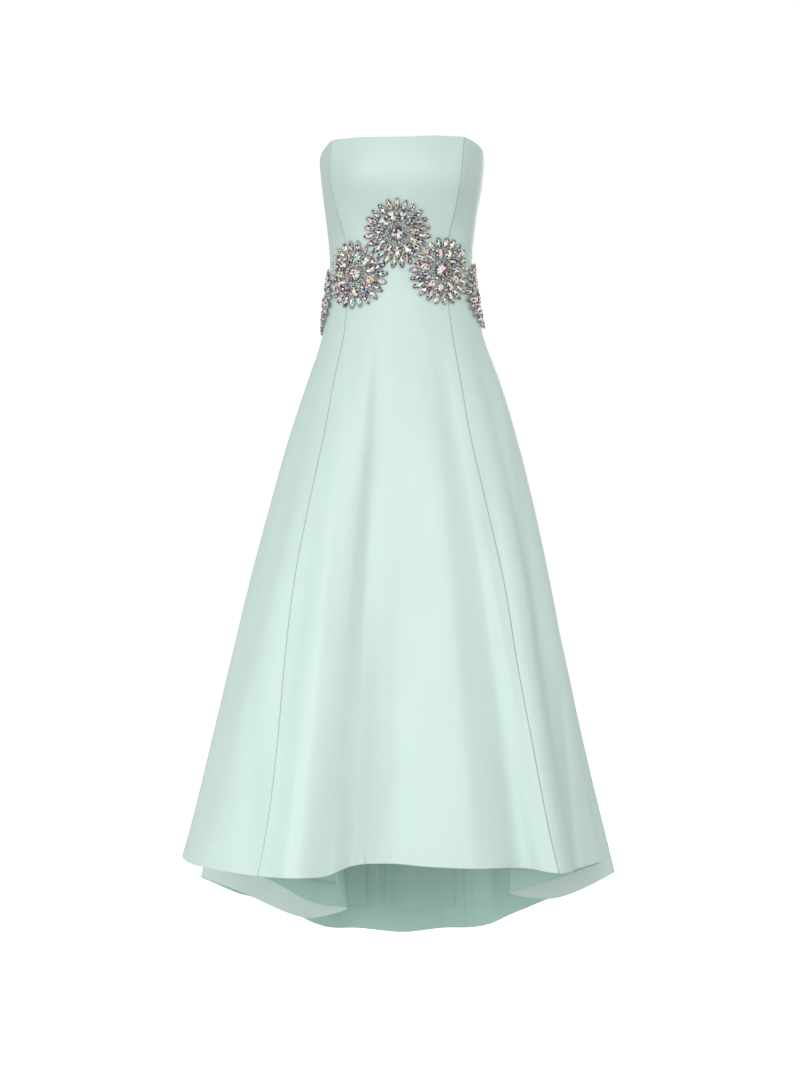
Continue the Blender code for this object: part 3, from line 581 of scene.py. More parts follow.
def panel_skins(from_seam, to_seam, columns, seed):
    """A panel's outer and inner skin, and each point's place on the flat cloth."""
    way, height, left, right = panel_points(from_seam, to_seam, columns)
    base = surface(way, height)
    normals, width = outward(way, height)
    from_top = np.abs(top_edge(np.clip(way, 0, ROUND)) - height)
    from_hem = np.abs(height - hem(np.clip(way, 0, ROUND), "z"))
    nearest = np.minimum(left, right)

    relief = lifted(way, height, width)
    quiet = eased(np.abs(height - BELT_LEVEL), *BELT_HALF) * (1 - BELT_STILL) + BELT_STILL
    beside = np.exp(-((nearest / SEAM_BESIDE) ** 2)) * eased(nearest, 0, 0.003)
    relief = relief + SEAM_PUCKER * quiet * beside * puckers(height, seed)
    close_to_hem = np.exp(-((from_hem / HEM_CLOSE) ** 2))
    relief = relief + HEM_PUCKER * close_to_hem * puckers(way, 5, 0.009, 0.019) * hem_pull(way)
    relief = relief - STITCH_LINE * np.exp(-(((from_hem - TURN_UP) / STITCH_LINE_WIDE) ** 2))

    edge_in = rolled_in(from_top, EDGE_START, EDGE_DEPTH) + rolled_in(from_hem, EDGE_START, EDGE_DEPTH)
    outer = base + normals * (relief - rolled_in(nearest, ROLL, ROLL_DEPTH) - edge_in)[:, :, None]

    stepped = ALLOWANCE_STEP * (1 - eased(nearest, ALLOWANCE - 0.0006, ALLOWANCE + 0.0006))
    loose = 0.4 + 0.6 * np.abs(puckers(height, seed + 3))
    lifted_edge = RAW_EDGE_LIFT * np.exp(-(((nearest - ALLOWANCE) / RAW_EDGE_WIDE) ** 2)) * loose
    low = np.exp(-((from_hem / CRIMP_REACH) ** 2)) * eased(from_hem, 0.004, TURN_UP)
    sewn_down = np.exp(-(((nearest - ALLOWANCE) / SEWN_DOWN) ** 2))
    sewn_down = sewn_down + np.exp(-(((from_hem - TURN_UP) / SEWN_DOWN) ** 2))
    free = eased(nearest, 0, SEAM_STILL) * np.clip(1 - sewn_down, 0, 1)
    crimps = CRIMP * low * free * puckers(way + 0.12 * height, seed + 5, 0.026, 0.081)
    turned = TURN_UP_STEP * (1 - eased(from_hem, TURN_UP - 0.0008, TURN_UP + 0.0008))
    faced = FACING_STEP * (1 - eased(from_top, FACING - 0.0008, FACING + 0.0008))
    thick = CLOTH + np.maximum.reduce([stepped + lifted_edge * (from_hem > TURN_UP), turned, faced])
    inner = base + normals * (relief - thick - np.abs(crimps) + edge_in)[:, :, None]

    for skin in (outer, inner):
        for end, near in ((0, 2), (-1, -3)):
            inwards = base[:, near] - base[:, end]
            skin[:, end] += inwards / np.linalg.norm(inwards, axis=1, keepdims=True) * SEAM_GAP / 2
    down = np.cumsum(np.concatenate([0 * left[:1], np.linalg.norm(np.diff(base, axis=0), axis=2)]), axis=0)
    # Painted shade: a mark that darkens the colour within about a millimetre of each seam, for the shadow of
    # its groove.
    shadow = np.exp(-((nearest / SEAM_SHADE_HALF) ** 2))
    return outer, inner, np.stack([left - right, -down], axis=2), shadow


# %% Close the two skins into one shell
def shell(name, outer, inner, flat, shadow):
    """A closed mesh between two skins, with its UV map and marks for the inner side and the painted seam
    shade.
    """
    rows, columns = outer.shape[:2]
    count = rows * columns
    index = np.arange(count).reshape(rows, columns)
    a, b, c, d = index[:-1, :-1], index[:-1, 1:], index[1:, 1:], index[1:, :-1]
    face = np.stack([a, d, c, b], axis=2).reshape(-1, 4)
    edges = [(index[0], False), (index[-1], True), (index[:, 0], True), (index[:, -1], False)]
    strips = []
    for edge, turned in edges:
        strip = np.stack([edge[:-1], edge[1:], edge[1:] + count, edge[:-1] + count], axis=1)
        strips.append(strip[:, ::-1] if turned else strip)
    faces = np.concatenate([face, face[:, ::-1] + count] + strips)
    mesh = bpy.data.meshes.new(name)
    points = np.concatenate([outer.reshape(-1, 3), inner.reshape(-1, 3)])
    mesh.from_pydata(points.tolist(), [], faces.tolist())
    mesh.update()
    corner_of = np.empty(len(mesh.loops), np.int32)
    mesh.loops.foreach_get("vertex_index", corner_of)
    flat_points = np.concatenate([flat.reshape(-1, 2), flat.reshape(-1, 2)])
    mesh.uv_layers.new(name="cloth").data.foreach_set("uv", flat_points[corner_of].ravel())
    shadows = np.concatenate([shadow.ravel(), INNER_SEAM_SHADE * shadow.ravel()])
    for title, values in (("inner_side", np.repeat([0.0, 1.0], count)), ("painted_seam_shade", shadows)):
        mesh.attributes.new(title, "FLOAT", "POINT").data.foreach_set("value", values)
    mesh.shade_smooth()
    return put_in_scene(name, mesh)


# %% [markdown]
# ## Helpers for materials
#
# Every colour is written as it looks on a screen, as an sRGB hex value, and turned to linear light by one
# function. A second function adds a node to a material with its settings and its links.

# %% Colours and nodes
def linear(hex_colour):
    """An sRGB hex colour as linear red, green, blue and alpha."""
    parts = [int(hex_colour[k : k + 2], 16) / 255 for k in (0, 2, 4)]
    return (*[p / 12.92 if p <= 0.04045 else ((p + 0.055) / 1.055) ** 2.4 for p in parts], 1.0)


def add(tree, kind, values=None, stops=(), interpolation="LINEAR", **settings):
    """Adds a node. Values go to its inputs, by name or number, and a socket given as a value is linked.
    Stops are the (place, hex colour) pairs of a colour ramp."""
    node = tree.nodes.new(kind)
    for setting, value in settings.items():
        setattr(node, setting, value)
    for socket, value in (values or {}).items():
        if isinstance(value, bpy.types.NodeSocket):
            tree.links.new(value, node.inputs[socket])
        else:
            node.inputs[socket].default_value = value
    for k, (place, colour) in enumerate(stops):
        node.color_ramp.interpolation = interpolation
        elements = node.color_ramp.elements
        stop = elements[k] if k < 2 else elements.new(place)
        stop.position = place
        stop.color = linear(colour)
    return node


def start_material(name, values):
    """A new material, its nodes and its shader, whose sockets get the values that are the same all over."""
    made = bpy.data.materials.new(name)
    made.use_nodes = True
    shader = made.node_tree.nodes["Principled BSDF"]
    for socket, value in values.items():
        shader.inputs[socket].default_value = value
    return made, made.node_tree, shader


# %% [markdown]
# ## Mint duchess satin
#
# Duchess satin is a thick silk or polyester cloth whose warp floats over many weft threads. That gives a
# smooth face with a broad soft shine and, close up, fine lines along the warp. The weave could be an image,
# but a noise that is stretched along the UV map gives the same lines at any size. The wrong side has no
# floats, so the inner side is more matt and a little deeper in colour.

# %% Weave the satin
THREAD = 0.0009  # real threads lie 0.1 mm apart, and are drawn nine times as coarse to show at all
SLUB_LENGTH = 0.045


def weave_satin():
    """Mint duchess satin: it gives the eye a broad soft shine, fine lines along the warp and a dull back."""
    sheen = {"Sheen Weight": 0.08, "Sheen Roughness": 0.35, "Sheen Tint": linear("e4f2ee")}
    made, tree, shader = start_material("duchess_satin_woven", {"Specular IOR Level": 0.75, **sheen})
    cloth = add(tree, "ShaderNodeUVMap", uv_map="cloth").outputs["UV"]
    warp = add(tree, "ShaderNodeMapping", {"Vector": cloth, "Scale": (1 / THREAD, 1 / SLUB_LENGTH, 1)})
    floats = add(tree, "ShaderNodeTexNoise", {"Vector": warp.outputs[0], "Scale": 1.0, "Detail": 2.0})
    weft = add(tree, "ShaderNodeMapping", {"Vector": cloth, "Scale": (1 / SLUB_LENGTH, 0.6 / THREAD, 1)})
    picks = add(tree, "ShaderNodeTexNoise", {"Vector": weft.outputs[0], "Scale": 1.0, "Detail": 1.0})
    crossed = {0: floats.outputs["Fac"], 1: picks.outputs["Fac"]}
    threads = add(tree, "ShaderNodeMath", crossed, operation="ADD")
    clouds = add(tree, "ShaderNodeTexNoise", {"Vector": cloth, "Scale": 7.0, "Detail": 2.0})
    inner = add(tree, "ShaderNodeAttribute", attribute_name="inner_side").outputs["Fac"]

    patches = {"Fac": clouds.outputs["Fac"]}
    face = add(tree, "ShaderNodeValToRGB", patches, stops=[(0.3, "c9dfd8"), (0.7, "cde2dd")])
    wrong = add(tree, "ShaderNodeValToRGB", patches, stops=[(0.3, "b6ddcf"), (0.7, "bde1d4")])
    sides = {"Factor": inner, 6: face.outputs[0], 7: wrong.outputs[0]}
    colour = add(tree, "ShaderNodeMix", sides, data_type="RGBA")
    lines = add(tree, "ShaderNodeMapRange", {0: threads.outputs[0], 1: 0.6, 2: 1.4, 3: 0.975, 4: 1.02})
    # Painted shade: the colour falls to 70 % along the seams, standing in for the shadow in their groove.
    painted_seam_shade = add(tree, "ShaderNodeAttribute", attribute_name="painted_seam_shade").outputs["Fac"]
    shade = add(tree, "ShaderNodeMapRange", {0: painted_seam_shade, 3: 1.0, 4: 0.70})
    tone = add(tree, "ShaderNodeMath", {0: lines.outputs[0], 1: shade.outputs[0]}, operation="MULTIPLY")
    scaled = {0: colour.outputs[2], "Scale": tone.outputs[0]}
    toned = add(tree, "ShaderNodeVectorMath", scaled, operation="SCALE")
    tree.links.new(toned.outputs[0], shader.inputs["Base Color"])

    gloss = add(tree, "ShaderNodeMapRange", {0: threads.outputs[0], 1: 0.6, 2: 1.4, 3: 0.40, 4: 0.50})
    rough = add(tree, "ShaderNodeMix", {"Factor": inner, 2: gloss.outputs[0], 3: 0.50})
    tree.links.new(rough.outputs[0], shader.inputs["Roughness"])
    relief = {"Strength": 0.25, "Distance": 0.00008, "Height": threads.outputs[0]}
    bump = add(tree, "ShaderNodeBump", relief)
    tree.links.new(bump.outputs[0], shader.inputs["Normal"])
    return made


satin = weave_satin()

# %% Cut and sew the panels
for seed, (name, from_seam, to_seam, columns) in enumerate(PANELS):
    outer, inner, flat, shadow = panel_skins(from_seam, to_seam, columns, 20 + 7 * seed)
    piece = shell("cloth_" + name, outer, inner, flat, shadow)
    piece.data.materials.append(satin)
    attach(piece, "dress")
    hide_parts(name)
    triangles = sum(len(face.vertices) - 2 for face in piece.data.polygons)
    print(name, "has", triangles, "triangles")

# %% [markdown]
# ## Crystal flowers: where the stones lie
#
# Each flower is sewn by hand on a piece of felt: pointed marquise stones as petals, ovals inside them, a
# round stone in the middle, and small round ones in the gaps. They could be placed one by one, but they
# follow a rule: rings round a middle, a little uneven. A flower is laid out flat, with its neighbours'
# space left free, and then each place is found on the round of the waist by measuring along the cloth.

# %% The flowers and their rings
FLOWER_COLUMNS = ("name", "angle", "height", "radius", "turn")
FLOWERS = (
    ("flower_side_left", -93.0, -0.074, 0.0540, 8.0),
    ("flower_left", -42.5, -0.037, 0.0555, 4.0),
    ("flower_centre", -2.4, 0.028, 0.0550, 0.0),
    ("flower_right", 39.0, -0.031, 0.0555, -4.0),
    ("flower_side_right", 86.0, -0.066, 0.0540, -8.0),
)
KINDS = ("marquise", "oval", "round", "chaton")
# The phase is in steps of the ring, the height in metres and the other sizes in radii of the flower.
RING_COLUMNS = ("kind", "count", "phase", "middle", "long", "wide", "high")
RINGS = (
    ("marquise", 23, 0.0, 0.842, 0.315, 0.156, 0.0042),
    ("oval", 11, 0.5, 0.520, 0.305, 0.210, 0.0056),
    ("round", 1, 0.0, 0.000, 0.360, 0.360, 0.0072),
    ("chaton", 17, 0.0, 0.262, 0.086, 0.086, 0.0030),
    ("chaton", 11, 0.0, 0.385, 0.090, 0.090, 0.0032),
    ("chaton", 11, 0.0, 0.585, 0.115, 0.115, 0.0034),
    ("chaton", 23, 0.5, 0.715, 0.072, 0.072, 0.0028),
)
FELT, FELT_LIFT = 0.0012, 0.0006
FELT_IN, FELT_NOTCH = 0.0012, 0.17  # how far the pad stays inside the petals, and its notches' share
NEIGHBOUR_GAP = 0.0008
MEASURED, MEASURES = 0.35, 70  # a flower's places are measured this far to each side, in this many steps
STONE_TILT = (-0.16, 0.10)  # radians
PETAL_SPREAD = (-0.018, 0.0)  # in radii
INNER_ROOM = 0.004  # inner stones stay this far from the half of a neighbour
CUT_OFF = 0.93  # where a flower's share of its radius is less than this, its outer small stones are left out
TURN_SPREAD, LENGTH_SPREAD, DEPTH_SPREAD, LIFT_SPREAD = 0.09, 0.07, 0.08, 0.0006


def on_cloth(start, middle_height, flat, lift):
    """Places of a flat layout on the cloth, lifted off it, and the way the cloth faces there."""
    flat = np.asarray(flat, float)
    height = middle_height + flat[:, 1]
    aside = np.linspace(-MEASURED, MEASURED, 2 * MEASURES + 1)
    ways = start + aside[None, :] + 0 * height[:, None]
    ring = surface(ways, height[:, None] + 0 * ways)
    steps = np.linalg.norm(np.diff(ring, axis=1), axis=2)
    along = np.concatenate([0 * steps[:, :1], np.cumsum(steps, axis=1)], axis=1)
    along = along - along[:, MEASURES : MEASURES + 1]
    way = np.array([np.interp(x, lengths, row) for x, lengths, row in zip(flat[:, 0], along, ways)])
    normal, _ = outward(way, height)
    return surface(way, height) + normal * lift, normal


def room_for(direction, radius, neighbours):
    """How far a flower may reach in a direction before it meets a neighbour's half."""
    reach = radius
    for away, towards in neighbours:
        facing = math.cos(direction - towards)
        if facing > 0.2:
            reach = min(reach, (away / 2 - NEIGHBOUR_GAP) / facing)
    return reach


def with_neighbours():
    """The rows of the flowers, each with the distance and direction of its neighbours."""
    rows = [dict(zip(FLOWER_COLUMNS, row)) for row in FLOWERS]
    for row in rows:
        row["way"] = float(way_of(row["angle"]))
    for i, row in enumerate(rows):
        row["neighbours"] = []
        for other in rows[max(i - 1, 0) : i] + rows[i + 1 : i + 2]:
            level = (row["height"] + other["height"]) / 2
            between = surface(np.linspace(row["way"], other["way"], 60), level)
            along = np.linalg.norm(np.diff(between, axis=0), axis=1).sum()
            along = along * np.sign(other["angle"] - row["angle"])
            up = other["height"] - row["height"]
            row["neighbours"].append((math.hypot(along, up), math.atan2(up, along)))
    return rows


flower_rows = with_neighbours()
print("distances between flowers:", [[round(n[0], 3) for n in row["neighbours"]] for row in flower_rows])

# %% [markdown]
# ## Templates: cut stones and their settings
#
# A faceted stone has a flat table, a crown of slanting facets and a girdle where it is widest. Seen from
# above, light comes back from the facets underneath, so the table itself looks like a star of light and
# dark wedges. The wedges are real faces here, each with a number of its own, which the glass material turns
# to a colour; the light and dark among those colours are painted light and painted shade. A setting is a
# thin cup of plated metal with claws bent over the girdle. Each template has a few dozen faces.

# %% Cut one stone of each kind
def stone_outline(kind):
    """The outline of a stone that is one unit long and wide, and how many corners it has."""
    corners = {"marquise": 12, "oval": 12, "round": 16, "chaton": 8}[kind]
    outline = []
    for k in range(corners):
        turn = 2 * math.pi * k / corners
        along, aside = math.cos(turn) / 2, math.sin(turn) / 2
        if kind == "marquise":
            aside = math.copysign(abs(math.sin(turn)) ** 1.45, math.sin(turn)) / 2
        outline.append((along, aside))
    return outline


def template(name, points, faces, seed):
    """A mesh with a number on each facet, to be copied onto points."""
    mesh = bpy.data.meshes.new(name)
    mesh.from_pydata(points, [], faces)
    fixed = bmesh.new()
    fixed.from_mesh(mesh)
    bmesh.ops.recalc_face_normals(fixed, faces=fixed.faces)
    fixed.to_mesh(mesh)
    fixed.free()
    numbers = mesh.attributes.new("facet", "FLOAT", "FACE")
    numbers.data.foreach_set("value", np.random.default_rng(seed).uniform(0, 1, len(mesh.polygons)))
    return put_in_scene(name, mesh)


def cut_stone(kind, seed):
    """A girdle, a crown of slanting facets, and a star of wedges as the table."""
    outline = stone_outline(kind)
    corners = len(outline)
    points = [(x, y, 0.10) for x, y in outline] + [(x, y, 0.42) for x, y in outline]
    star = [(0.56 * x, 0.56 * y, 0.95) for x, y in outline[::2]]
    first, middle = 2 * corners, 2 * corners + corners // 2
    points += star + [(0, 0, 0.80)]
    faces = [tuple(range(corners))[::-1]]
    for k in range(corners):
        after = (k + 1) % corners
        faces.append((k, after, corners + after, corners + k))
    for k in range(corners // 2):
        here, after = first + k, first + (k + 1) % (corners // 2)
        before_g, g, next_g = (corners + (2 * k + turn) % corners for turn in (-1, 0, 1))
        faces += [(here, before_g, g), (here, g, next_g), (here, next_g, after), (here, after, middle)]
    return template("cut_" + kind, points, faces, seed)


def bend_setting(kind, seed):
    """A cup with a thin lip, and claws over the girdle."""
    outline = stone_outline(kind)
    corners = len(outline)
    points, faces = [], []
    for share, high in ((1.16, 0.0), (1.18, 0.36), (1.06, 0.50), (0.99, 0.36)):
        points += [(share * x, share * y, high) for x, y in outline]
    for ring in range(3):
        for k in range(corners):
            after = (k + 1) % corners
            a, b = ring * corners + k, ring * corners + after
            faces.append((a, b, b + corners, a + corners))
    faces.append(tuple(range(corners))[::-1])
    faces.append(tuple(3 * corners + k for k in range(corners)))
    claws = [k for k in range(corners) if kind != "marquise" or k % 6 != 0][:: 3 if corners > 8 else 2]
    for k in claws:
        x, y = outline[k]
        sideways = Vector((-y, x, 0)).normalized() * 0.045
        foot, tip = Vector((1.12 * x, 1.12 * y, 0.40)), Vector((0.78 * x, 0.78 * y, 0.78))
        at = len(points)
        for spot, size in ((foot, 1.5), (tip, 0.8)):
            points += [tuple(spot + sideways * size), tuple(spot - sideways * size)]
            points.append(tuple(spot + Vector((0.5 * x, 0.5 * y, 0.16)) * size * 0.5))
        faces += [(at, at + 1, at + 2), (at + 3, at + 5, at + 4)]
        for a, b in ((at, at + 2), (at + 2, at + 1), (at + 1, at)):
            faces.append((a, b, b + 3, a + 3))
    return template("setting_" + kind, points, faces, seed)


stones = {kind: cut_stone(kind, 3 + k) for k, kind in enumerate(KINDS)}
settings = {kind: bend_setting(kind, 13 + k) for k, kind in enumerate(KINDS)}
print({name: len(made.data.polygons) for name, made in {**stones, "cup": settings["oval"]}.items()})

# %% [markdown]
# ## Glass with an aurora coating
#
# The stones are lead glass with a metal oxide coating that is thinner than light waves. It gives the eye
# patches of violet, magenta, red, green and white that change from facet to facet. Glass that bends light
# would be slow and grey at this size, so each facet takes one colour from its own number and the stone's,
# under a hard clear gloss that catches the softboxes. Most colours are tints of the coating; the white and
# near-black ones are painted light and painted shade, for the light that the facets would bend back.

# %% Mix the glass, the plated metal and the felt
# Painted light: the white stops are painted glints and the near-black ones painted shade; the rest are tints
# of the coating.
AURORA_AND_PAINTED_LIGHT = (
    (0.00, "ffffff"), (0.08, "b7aab8"), (0.12, "3c2166"), (0.18, "95478c"), (0.22, "f6e4e6"),
    (0.30, "731b42"), (0.35, "ffffff"), (0.43, "a6e0d2"), (0.48, "221e30"), (0.53, "e9c0ad"),
    (0.57, "b9302b"), (0.60, "fbf6e4"), (0.67, "2b2c86"), (0.72, "c2e6cf"), (0.77, "e9e59a"),
    (0.80, "ffffff"), (0.87, "675d69"), (0.91, "d9a2c4"), (0.94, "17121d"), (0.97, "8fd0cf"),
)


def aurora_glass():
    """Coated lead glass: hard sparks from its gloss and from painted white facets, and a colour that jumps
    from facet to facet, partly the coating's tint and partly painted light and shade.
    """
    gloss = {"Metallic": 0.22, "Roughness": 0.08, "IOR": 1.60, "Coat Weight": 0.8, "Coat Roughness": 0.04}
    made, tree, shader = start_material("lead_glass_aurora_coated", gloss)
    hue = add(tree, "ShaderNodeAttribute", attribute_name="hue").outputs["Fac"]
    facet = add(tree, "ShaderNodeAttribute", attribute_name="facet").outputs["Fac"]
    spread = add(tree, "ShaderNodeMath", {0: facet, 1: 0.42, 2: hue}, operation="MULTIPLY_ADD")
    patch = add(tree, "ShaderNodeMath", {0: spread.outputs[0]}, operation="FRACT").outputs[0]
    colour = add(tree, "ShaderNodeValToRGB", {"Fac": patch}, stops=AURORA_AND_PAINTED_LIGHT, interpolation="CONSTANT")
    tree.links.new(colour.outputs["Color"], shader.inputs["Base Color"])
    return made


def plated_setting():
    """Silver-plated brass: small bright claws in random patches of light and dark grey; the dark grey is
    painted shade for the gaps between the stones.
    """
    made, tree, shader = start_material("brass_cast_silver_plated", {"Metallic": 1.0})
    spot = add(tree, "ShaderNodeTexCoord").outputs["Object"]
    plating_patches = add(tree, "ShaderNodeTexNoise", {"Vector": spot, "Scale": 260.0, "Detail": 2.0})
    # Painted shade: the dark stop stands in for the shade between the stones, though the patches fall at
    # random.
    worn = [(0.40, "6e625b"), (0.58, "e0d8d0")]
    tone = add(tree, "ShaderNodeValToRGB", {"Fac": plating_patches.outputs["Fac"]}, stops=worn)
    tree.links.new(tone.outputs["Color"], shader.inputs["Base Color"])
    rough = add(tree, "ShaderNodeMapRange", {0: plating_patches.outputs["Fac"], 3: 0.22, 4: 0.40})
    tree.links.new(rough.outputs[0], shader.inputs["Roughness"])
    return made


def felt_backing():
    """Dyed felt: it gives the eye a matt mint ground between the stones, with a trace of fibres."""
    made, tree, shader = start_material("wool_felt_dyed", {"Roughness": 0.92})
    spot = add(tree, "ShaderNodeTexCoord").outputs["Object"]
    fibres = add(tree, "ShaderNodeTexNoise", {"Vector": spot, "Scale": 900.0, "Detail": 3.0})
    dyed = [(0.3, "a9c8bd"), (0.7, "c4ddd4")]
    tone = add(tree, "ShaderNodeValToRGB", {"Fac": fibres.outputs["Fac"]}, stops=dyed)
    tree.links.new(tone.outputs["Color"], shader.inputs["Base Color"])
    bump = add(tree, "ShaderNodeBump", {"Strength": 0.6, "Distance": 0.0003, "Height": fibres.outputs["Fac"]})
    tree.links.new(bump.outputs[0], shader.inputs["Normal"])
    return made


glass, plated, felt = aurora_glass(), plated_setting(), felt_backing()

# %% [markdown]
# ## Set the stones with Geometry Nodes
#
# A cloud of points carries everything that differs from stone to stone: its kind, its turn, its size and
# its hue. One node tree puts the right template on each point, once with the stones and once with the
# settings. The copies are made real at the end, because a plain mesh is what the exported dress needs.

# %% The tree that puts a shape on every point
def tree_of_copies(name, shapes, by_kind=False):
    """A tree that puts a shape on each point, with the point's own turn and size, all in one finish."""
    tree = bpy.data.node_groups.new(name, "GeometryNodeTree")
    tree.interface.new_socket("Geometry", in_out="INPUT", socket_type="NodeSocketGeometry")
    for shape in shapes:
        tree.interface.new_socket(shape, in_out="INPUT", socket_type="NodeSocketObject")
    tree.interface.new_socket("Finish", in_out="INPUT", socket_type="NodeSocketMaterial")
    tree.interface.new_socket("Geometry", in_out="OUTPUT", socket_type="NodeSocketGeometry")
    start, end = add(tree, "NodeGroupInput"), add(tree, "NodeGroupOutput")
    stored = {}
    for title, data_type in (("kind", "INT"), ("turn", "FLOAT_VECTOR"), ("size", "FLOAT_VECTOR")):
        read = add(tree, "GeometryNodeInputNamedAttribute", {"Name": title}, data_type=data_type)
        stored[title] = read.outputs["Attribute"]
    on_points = {"Points": start.outputs["Geometry"], "Rotation": stored["turn"], "Scale": stored["size"]}
    joined = add(tree, "GeometryNodeJoinGeometry")
    for k, shape in enumerate(shapes):
        source = add(tree, "GeometryNodeObjectInfo", {"Object": start.outputs[shape]})
        on_points["Instance"] = source.outputs["Geometry"]
        if by_kind:
            same = {2: stored["kind"], 3: k}
            chosen = add(tree, "FunctionNodeCompare", same, data_type="INT", operation="EQUAL")
            on_points["Selection"] = chosen.outputs["Result"]
        copies = add(tree, "GeometryNodeInstanceOnPoints", on_points)
        tree.links.new(copies.outputs["Instances"], joined.inputs["Geometry"])
    real = add(tree, "GeometryNodeRealizeInstances", {"Geometry": joined.outputs["Geometry"]})
    finish = {"Geometry": real.outputs[0], "Material": start.outputs["Finish"]}
    finished = add(tree, "GeometryNodeSetMaterial", finish)
    tree.links.new(finished.outputs[0], end.inputs[0])
    return tree


def input_name(tree, name):
    """The identifier of a named input of a tree."""
    sockets = [item for item in tree.interface.items_tree if item.item_type == "SOCKET"]
    return next(item.identifier for item in sockets if item.in_out == "INPUT" and item.name == name)


def grown(name, points, attributes, tree, inputs):
    """Runs a tree on a cloud of points and keeps the result as a plain mesh."""
    mesh = bpy.data.meshes.new(name + "_points")
    mesh.from_pydata([tuple(point) for point in points], [], [])
    for title, values in attributes.items():
        values = np.asarray(values)
        number = "INT" if values.dtype.kind == "i" else "FLOAT"
        data_type, field = ("FLOAT_VECTOR", "vector") if values.ndim == 2 else (number, "value")
        mesh.attributes.new(title, data_type, "POINT").data.foreach_set(field, values.ravel())
    cloud = put_in_scene(name + "_points", mesh)
    modifier = cloud.modifiers.new("grow", "NODES")
    modifier.node_group = tree
    for title, value in inputs.items():
        modifier[input_name(tree, title)] = value
    view = bpy.context.evaluated_depsgraph_get()
    result = cloud.evaluated_get(view)
    made = bpy.data.meshes.new_from_object(result, preserve_all_data_layers=True, depsgraph=view)
    cloud.modifiers.remove(modifier)
    bpy.data.objects.remove(cloud)
    made.name = name
    return put_in_scene(name, made)


set_stones = tree_of_copies("set_stones", KINDS, by_kind=True)


def cloth_axes(along, out):
    """The axes of a piece that lies with X along a direction and Z out of the cloth."""
    out, along = Vector(out), Vector(along)
    along = (along - out * along.dot(out)).normalized()
    return Matrix((along, out.cross(along), out)).transposed()


# %% Lay out a flower's stones
def stone_places(row, seed):
    """Points for one flower's stones, with each one's kind, turn, size and hue."""
    chance = np.random.default_rng(seed)
    flat, heading, sizes, kinds, lifts = [], [], [], [], []
    radius = row["radius"]
    first_turn = math.radians(90 + row["turn"])
    for ring in (dict(zip(RING_COLUMNS, ring)) for ring in RINGS):
        for k in range(ring["count"]):
            direction = first_turn + 2 * math.pi * (k + ring["phase"]) / ring["count"]
            reach = room_for(direction, radius, row["neighbours"])
            middle, long = ring["middle"] * radius, ring["long"] * radius
            if ring["kind"] == "marquise":
                middle = min(middle, reach - long * 0.5)
                middle += chance.uniform(*PETAL_SPREAD) * radius
            over = middle + long / 2 + INNER_ROOM - max(reach, radius * 0.6)
            if ring["middle"] > 0 and ring["kind"] != "marquise" and over > 0:
                middle -= over
            if ring["kind"] == "chaton" and ring["middle"] > 0.5 and reach < radius * CUT_OFF:
                continue
            jitter = chance.uniform(-1, 1, 3)
            flat.append((middle * math.cos(direction), middle * math.sin(direction)))
            heading.append(direction + jitter[0] * TURN_SPREAD * (ring["count"] > 1))
            grow = 1 + LENGTH_SPREAD * jitter[1]
            high = ring["high"] * (1 + DEPTH_SPREAD * jitter[2])
            sizes.append((long * grow, ring["wide"] * radius * grow, high))
            kinds.append(KINDS.index(ring["kind"]))
            lifts.append(chance.uniform(0.0, LIFT_SPREAD))
    flat, sizes = np.array(flat), np.array(sizes)
    heading = np.array(heading)
    points, normals = on_cloth(row["way"], row["height"], flat, FELT_LIFT + FELT)
    ahead = np.stack([np.cos(heading), np.sin(heading)], axis=1) * 0.002
    towards, _ = on_cloth(row["way"], row["height"], flat + ahead, FELT_LIFT + FELT)
    turns = []
    for point, normal, aim in zip(points, normals, towards):
        axes = cloth_axes(aim - point, normal)
        tilt = Matrix.Rotation(chance.uniform(*STONE_TILT), 3, axes.col[1])
        turns.append(tuple((tilt @ axes).to_euler()))
    points = points + normals * np.array(lifts)[:, None]
    hues = chance.uniform(0, 1, len(points))
    return points, {"kind": kinds, "turn": turns, "size": sizes, "hue": hues}


# %% Cut the felt under a flower
FELT_RINGS = (0.12, 0.28, 0.44, 0.60, 0.74, 0.86, 0.95, 1.0)
FELT_SPOKES = 96


def felt_piece(name, row):
    """A closed pad of felt with a tip under each petal."""
    flat = [(0.0, 0.0)]
    petals = RINGS[0][1]
    for share in FELT_RINGS:
        for k in range(FELT_SPOKES):
            direction = math.radians(90 + row["turn"]) + 2 * math.pi * k / FELT_SPOKES
            reach = room_for(direction, row["radius"], row["neighbours"])
            open_share = max(0.0, 1 - 4 * (1 - reach / row["radius"]))
            waves = 0.5 - 0.5 * math.cos(petals * 2 * math.pi * k / FELT_SPOKES)
            out = (reach - FELT_IN) * (1 - FELT_NOTCH * open_share * waves) * share
            flat.append((out * math.cos(direction), out * math.sin(direction)))
    under, normals = on_cloth(row["way"], row["height"], flat, FELT_LIFT)
    top = under + normals * FELT
    faces = []
    count = len(flat)
    for first, turned in ((0, False), (count, True)):
        for k in range(FELT_SPOKES):
            after = (k + 1) % FELT_SPOKES
            strip = [(first, first + 1 + k, first + 1 + after)]
            for ring in range(len(FELT_RINGS) - 1):
                a, b = first + 1 + ring * FELT_SPOKES + k, first + 1 + ring * FELT_SPOKES + after
                strip.append((a, a + FELT_SPOKES, b + FELT_SPOKES, b))
            faces += [face[::-1] if turned else face for face in strip]
    rim = 1 + (len(FELT_RINGS) - 1) * FELT_SPOKES
    for k in range(FELT_SPOKES):
        a, b = rim + k, rim + (k + 1) % FELT_SPOKES
        faces.append((a, a + count, b + count, b))
    mesh = bpy.data.meshes.new(name)
    mesh.from_pydata(np.concatenate([top, under]).tolist(), [], faces)
    mesh.materials.append(felt)
    return put_in_scene(name, mesh)


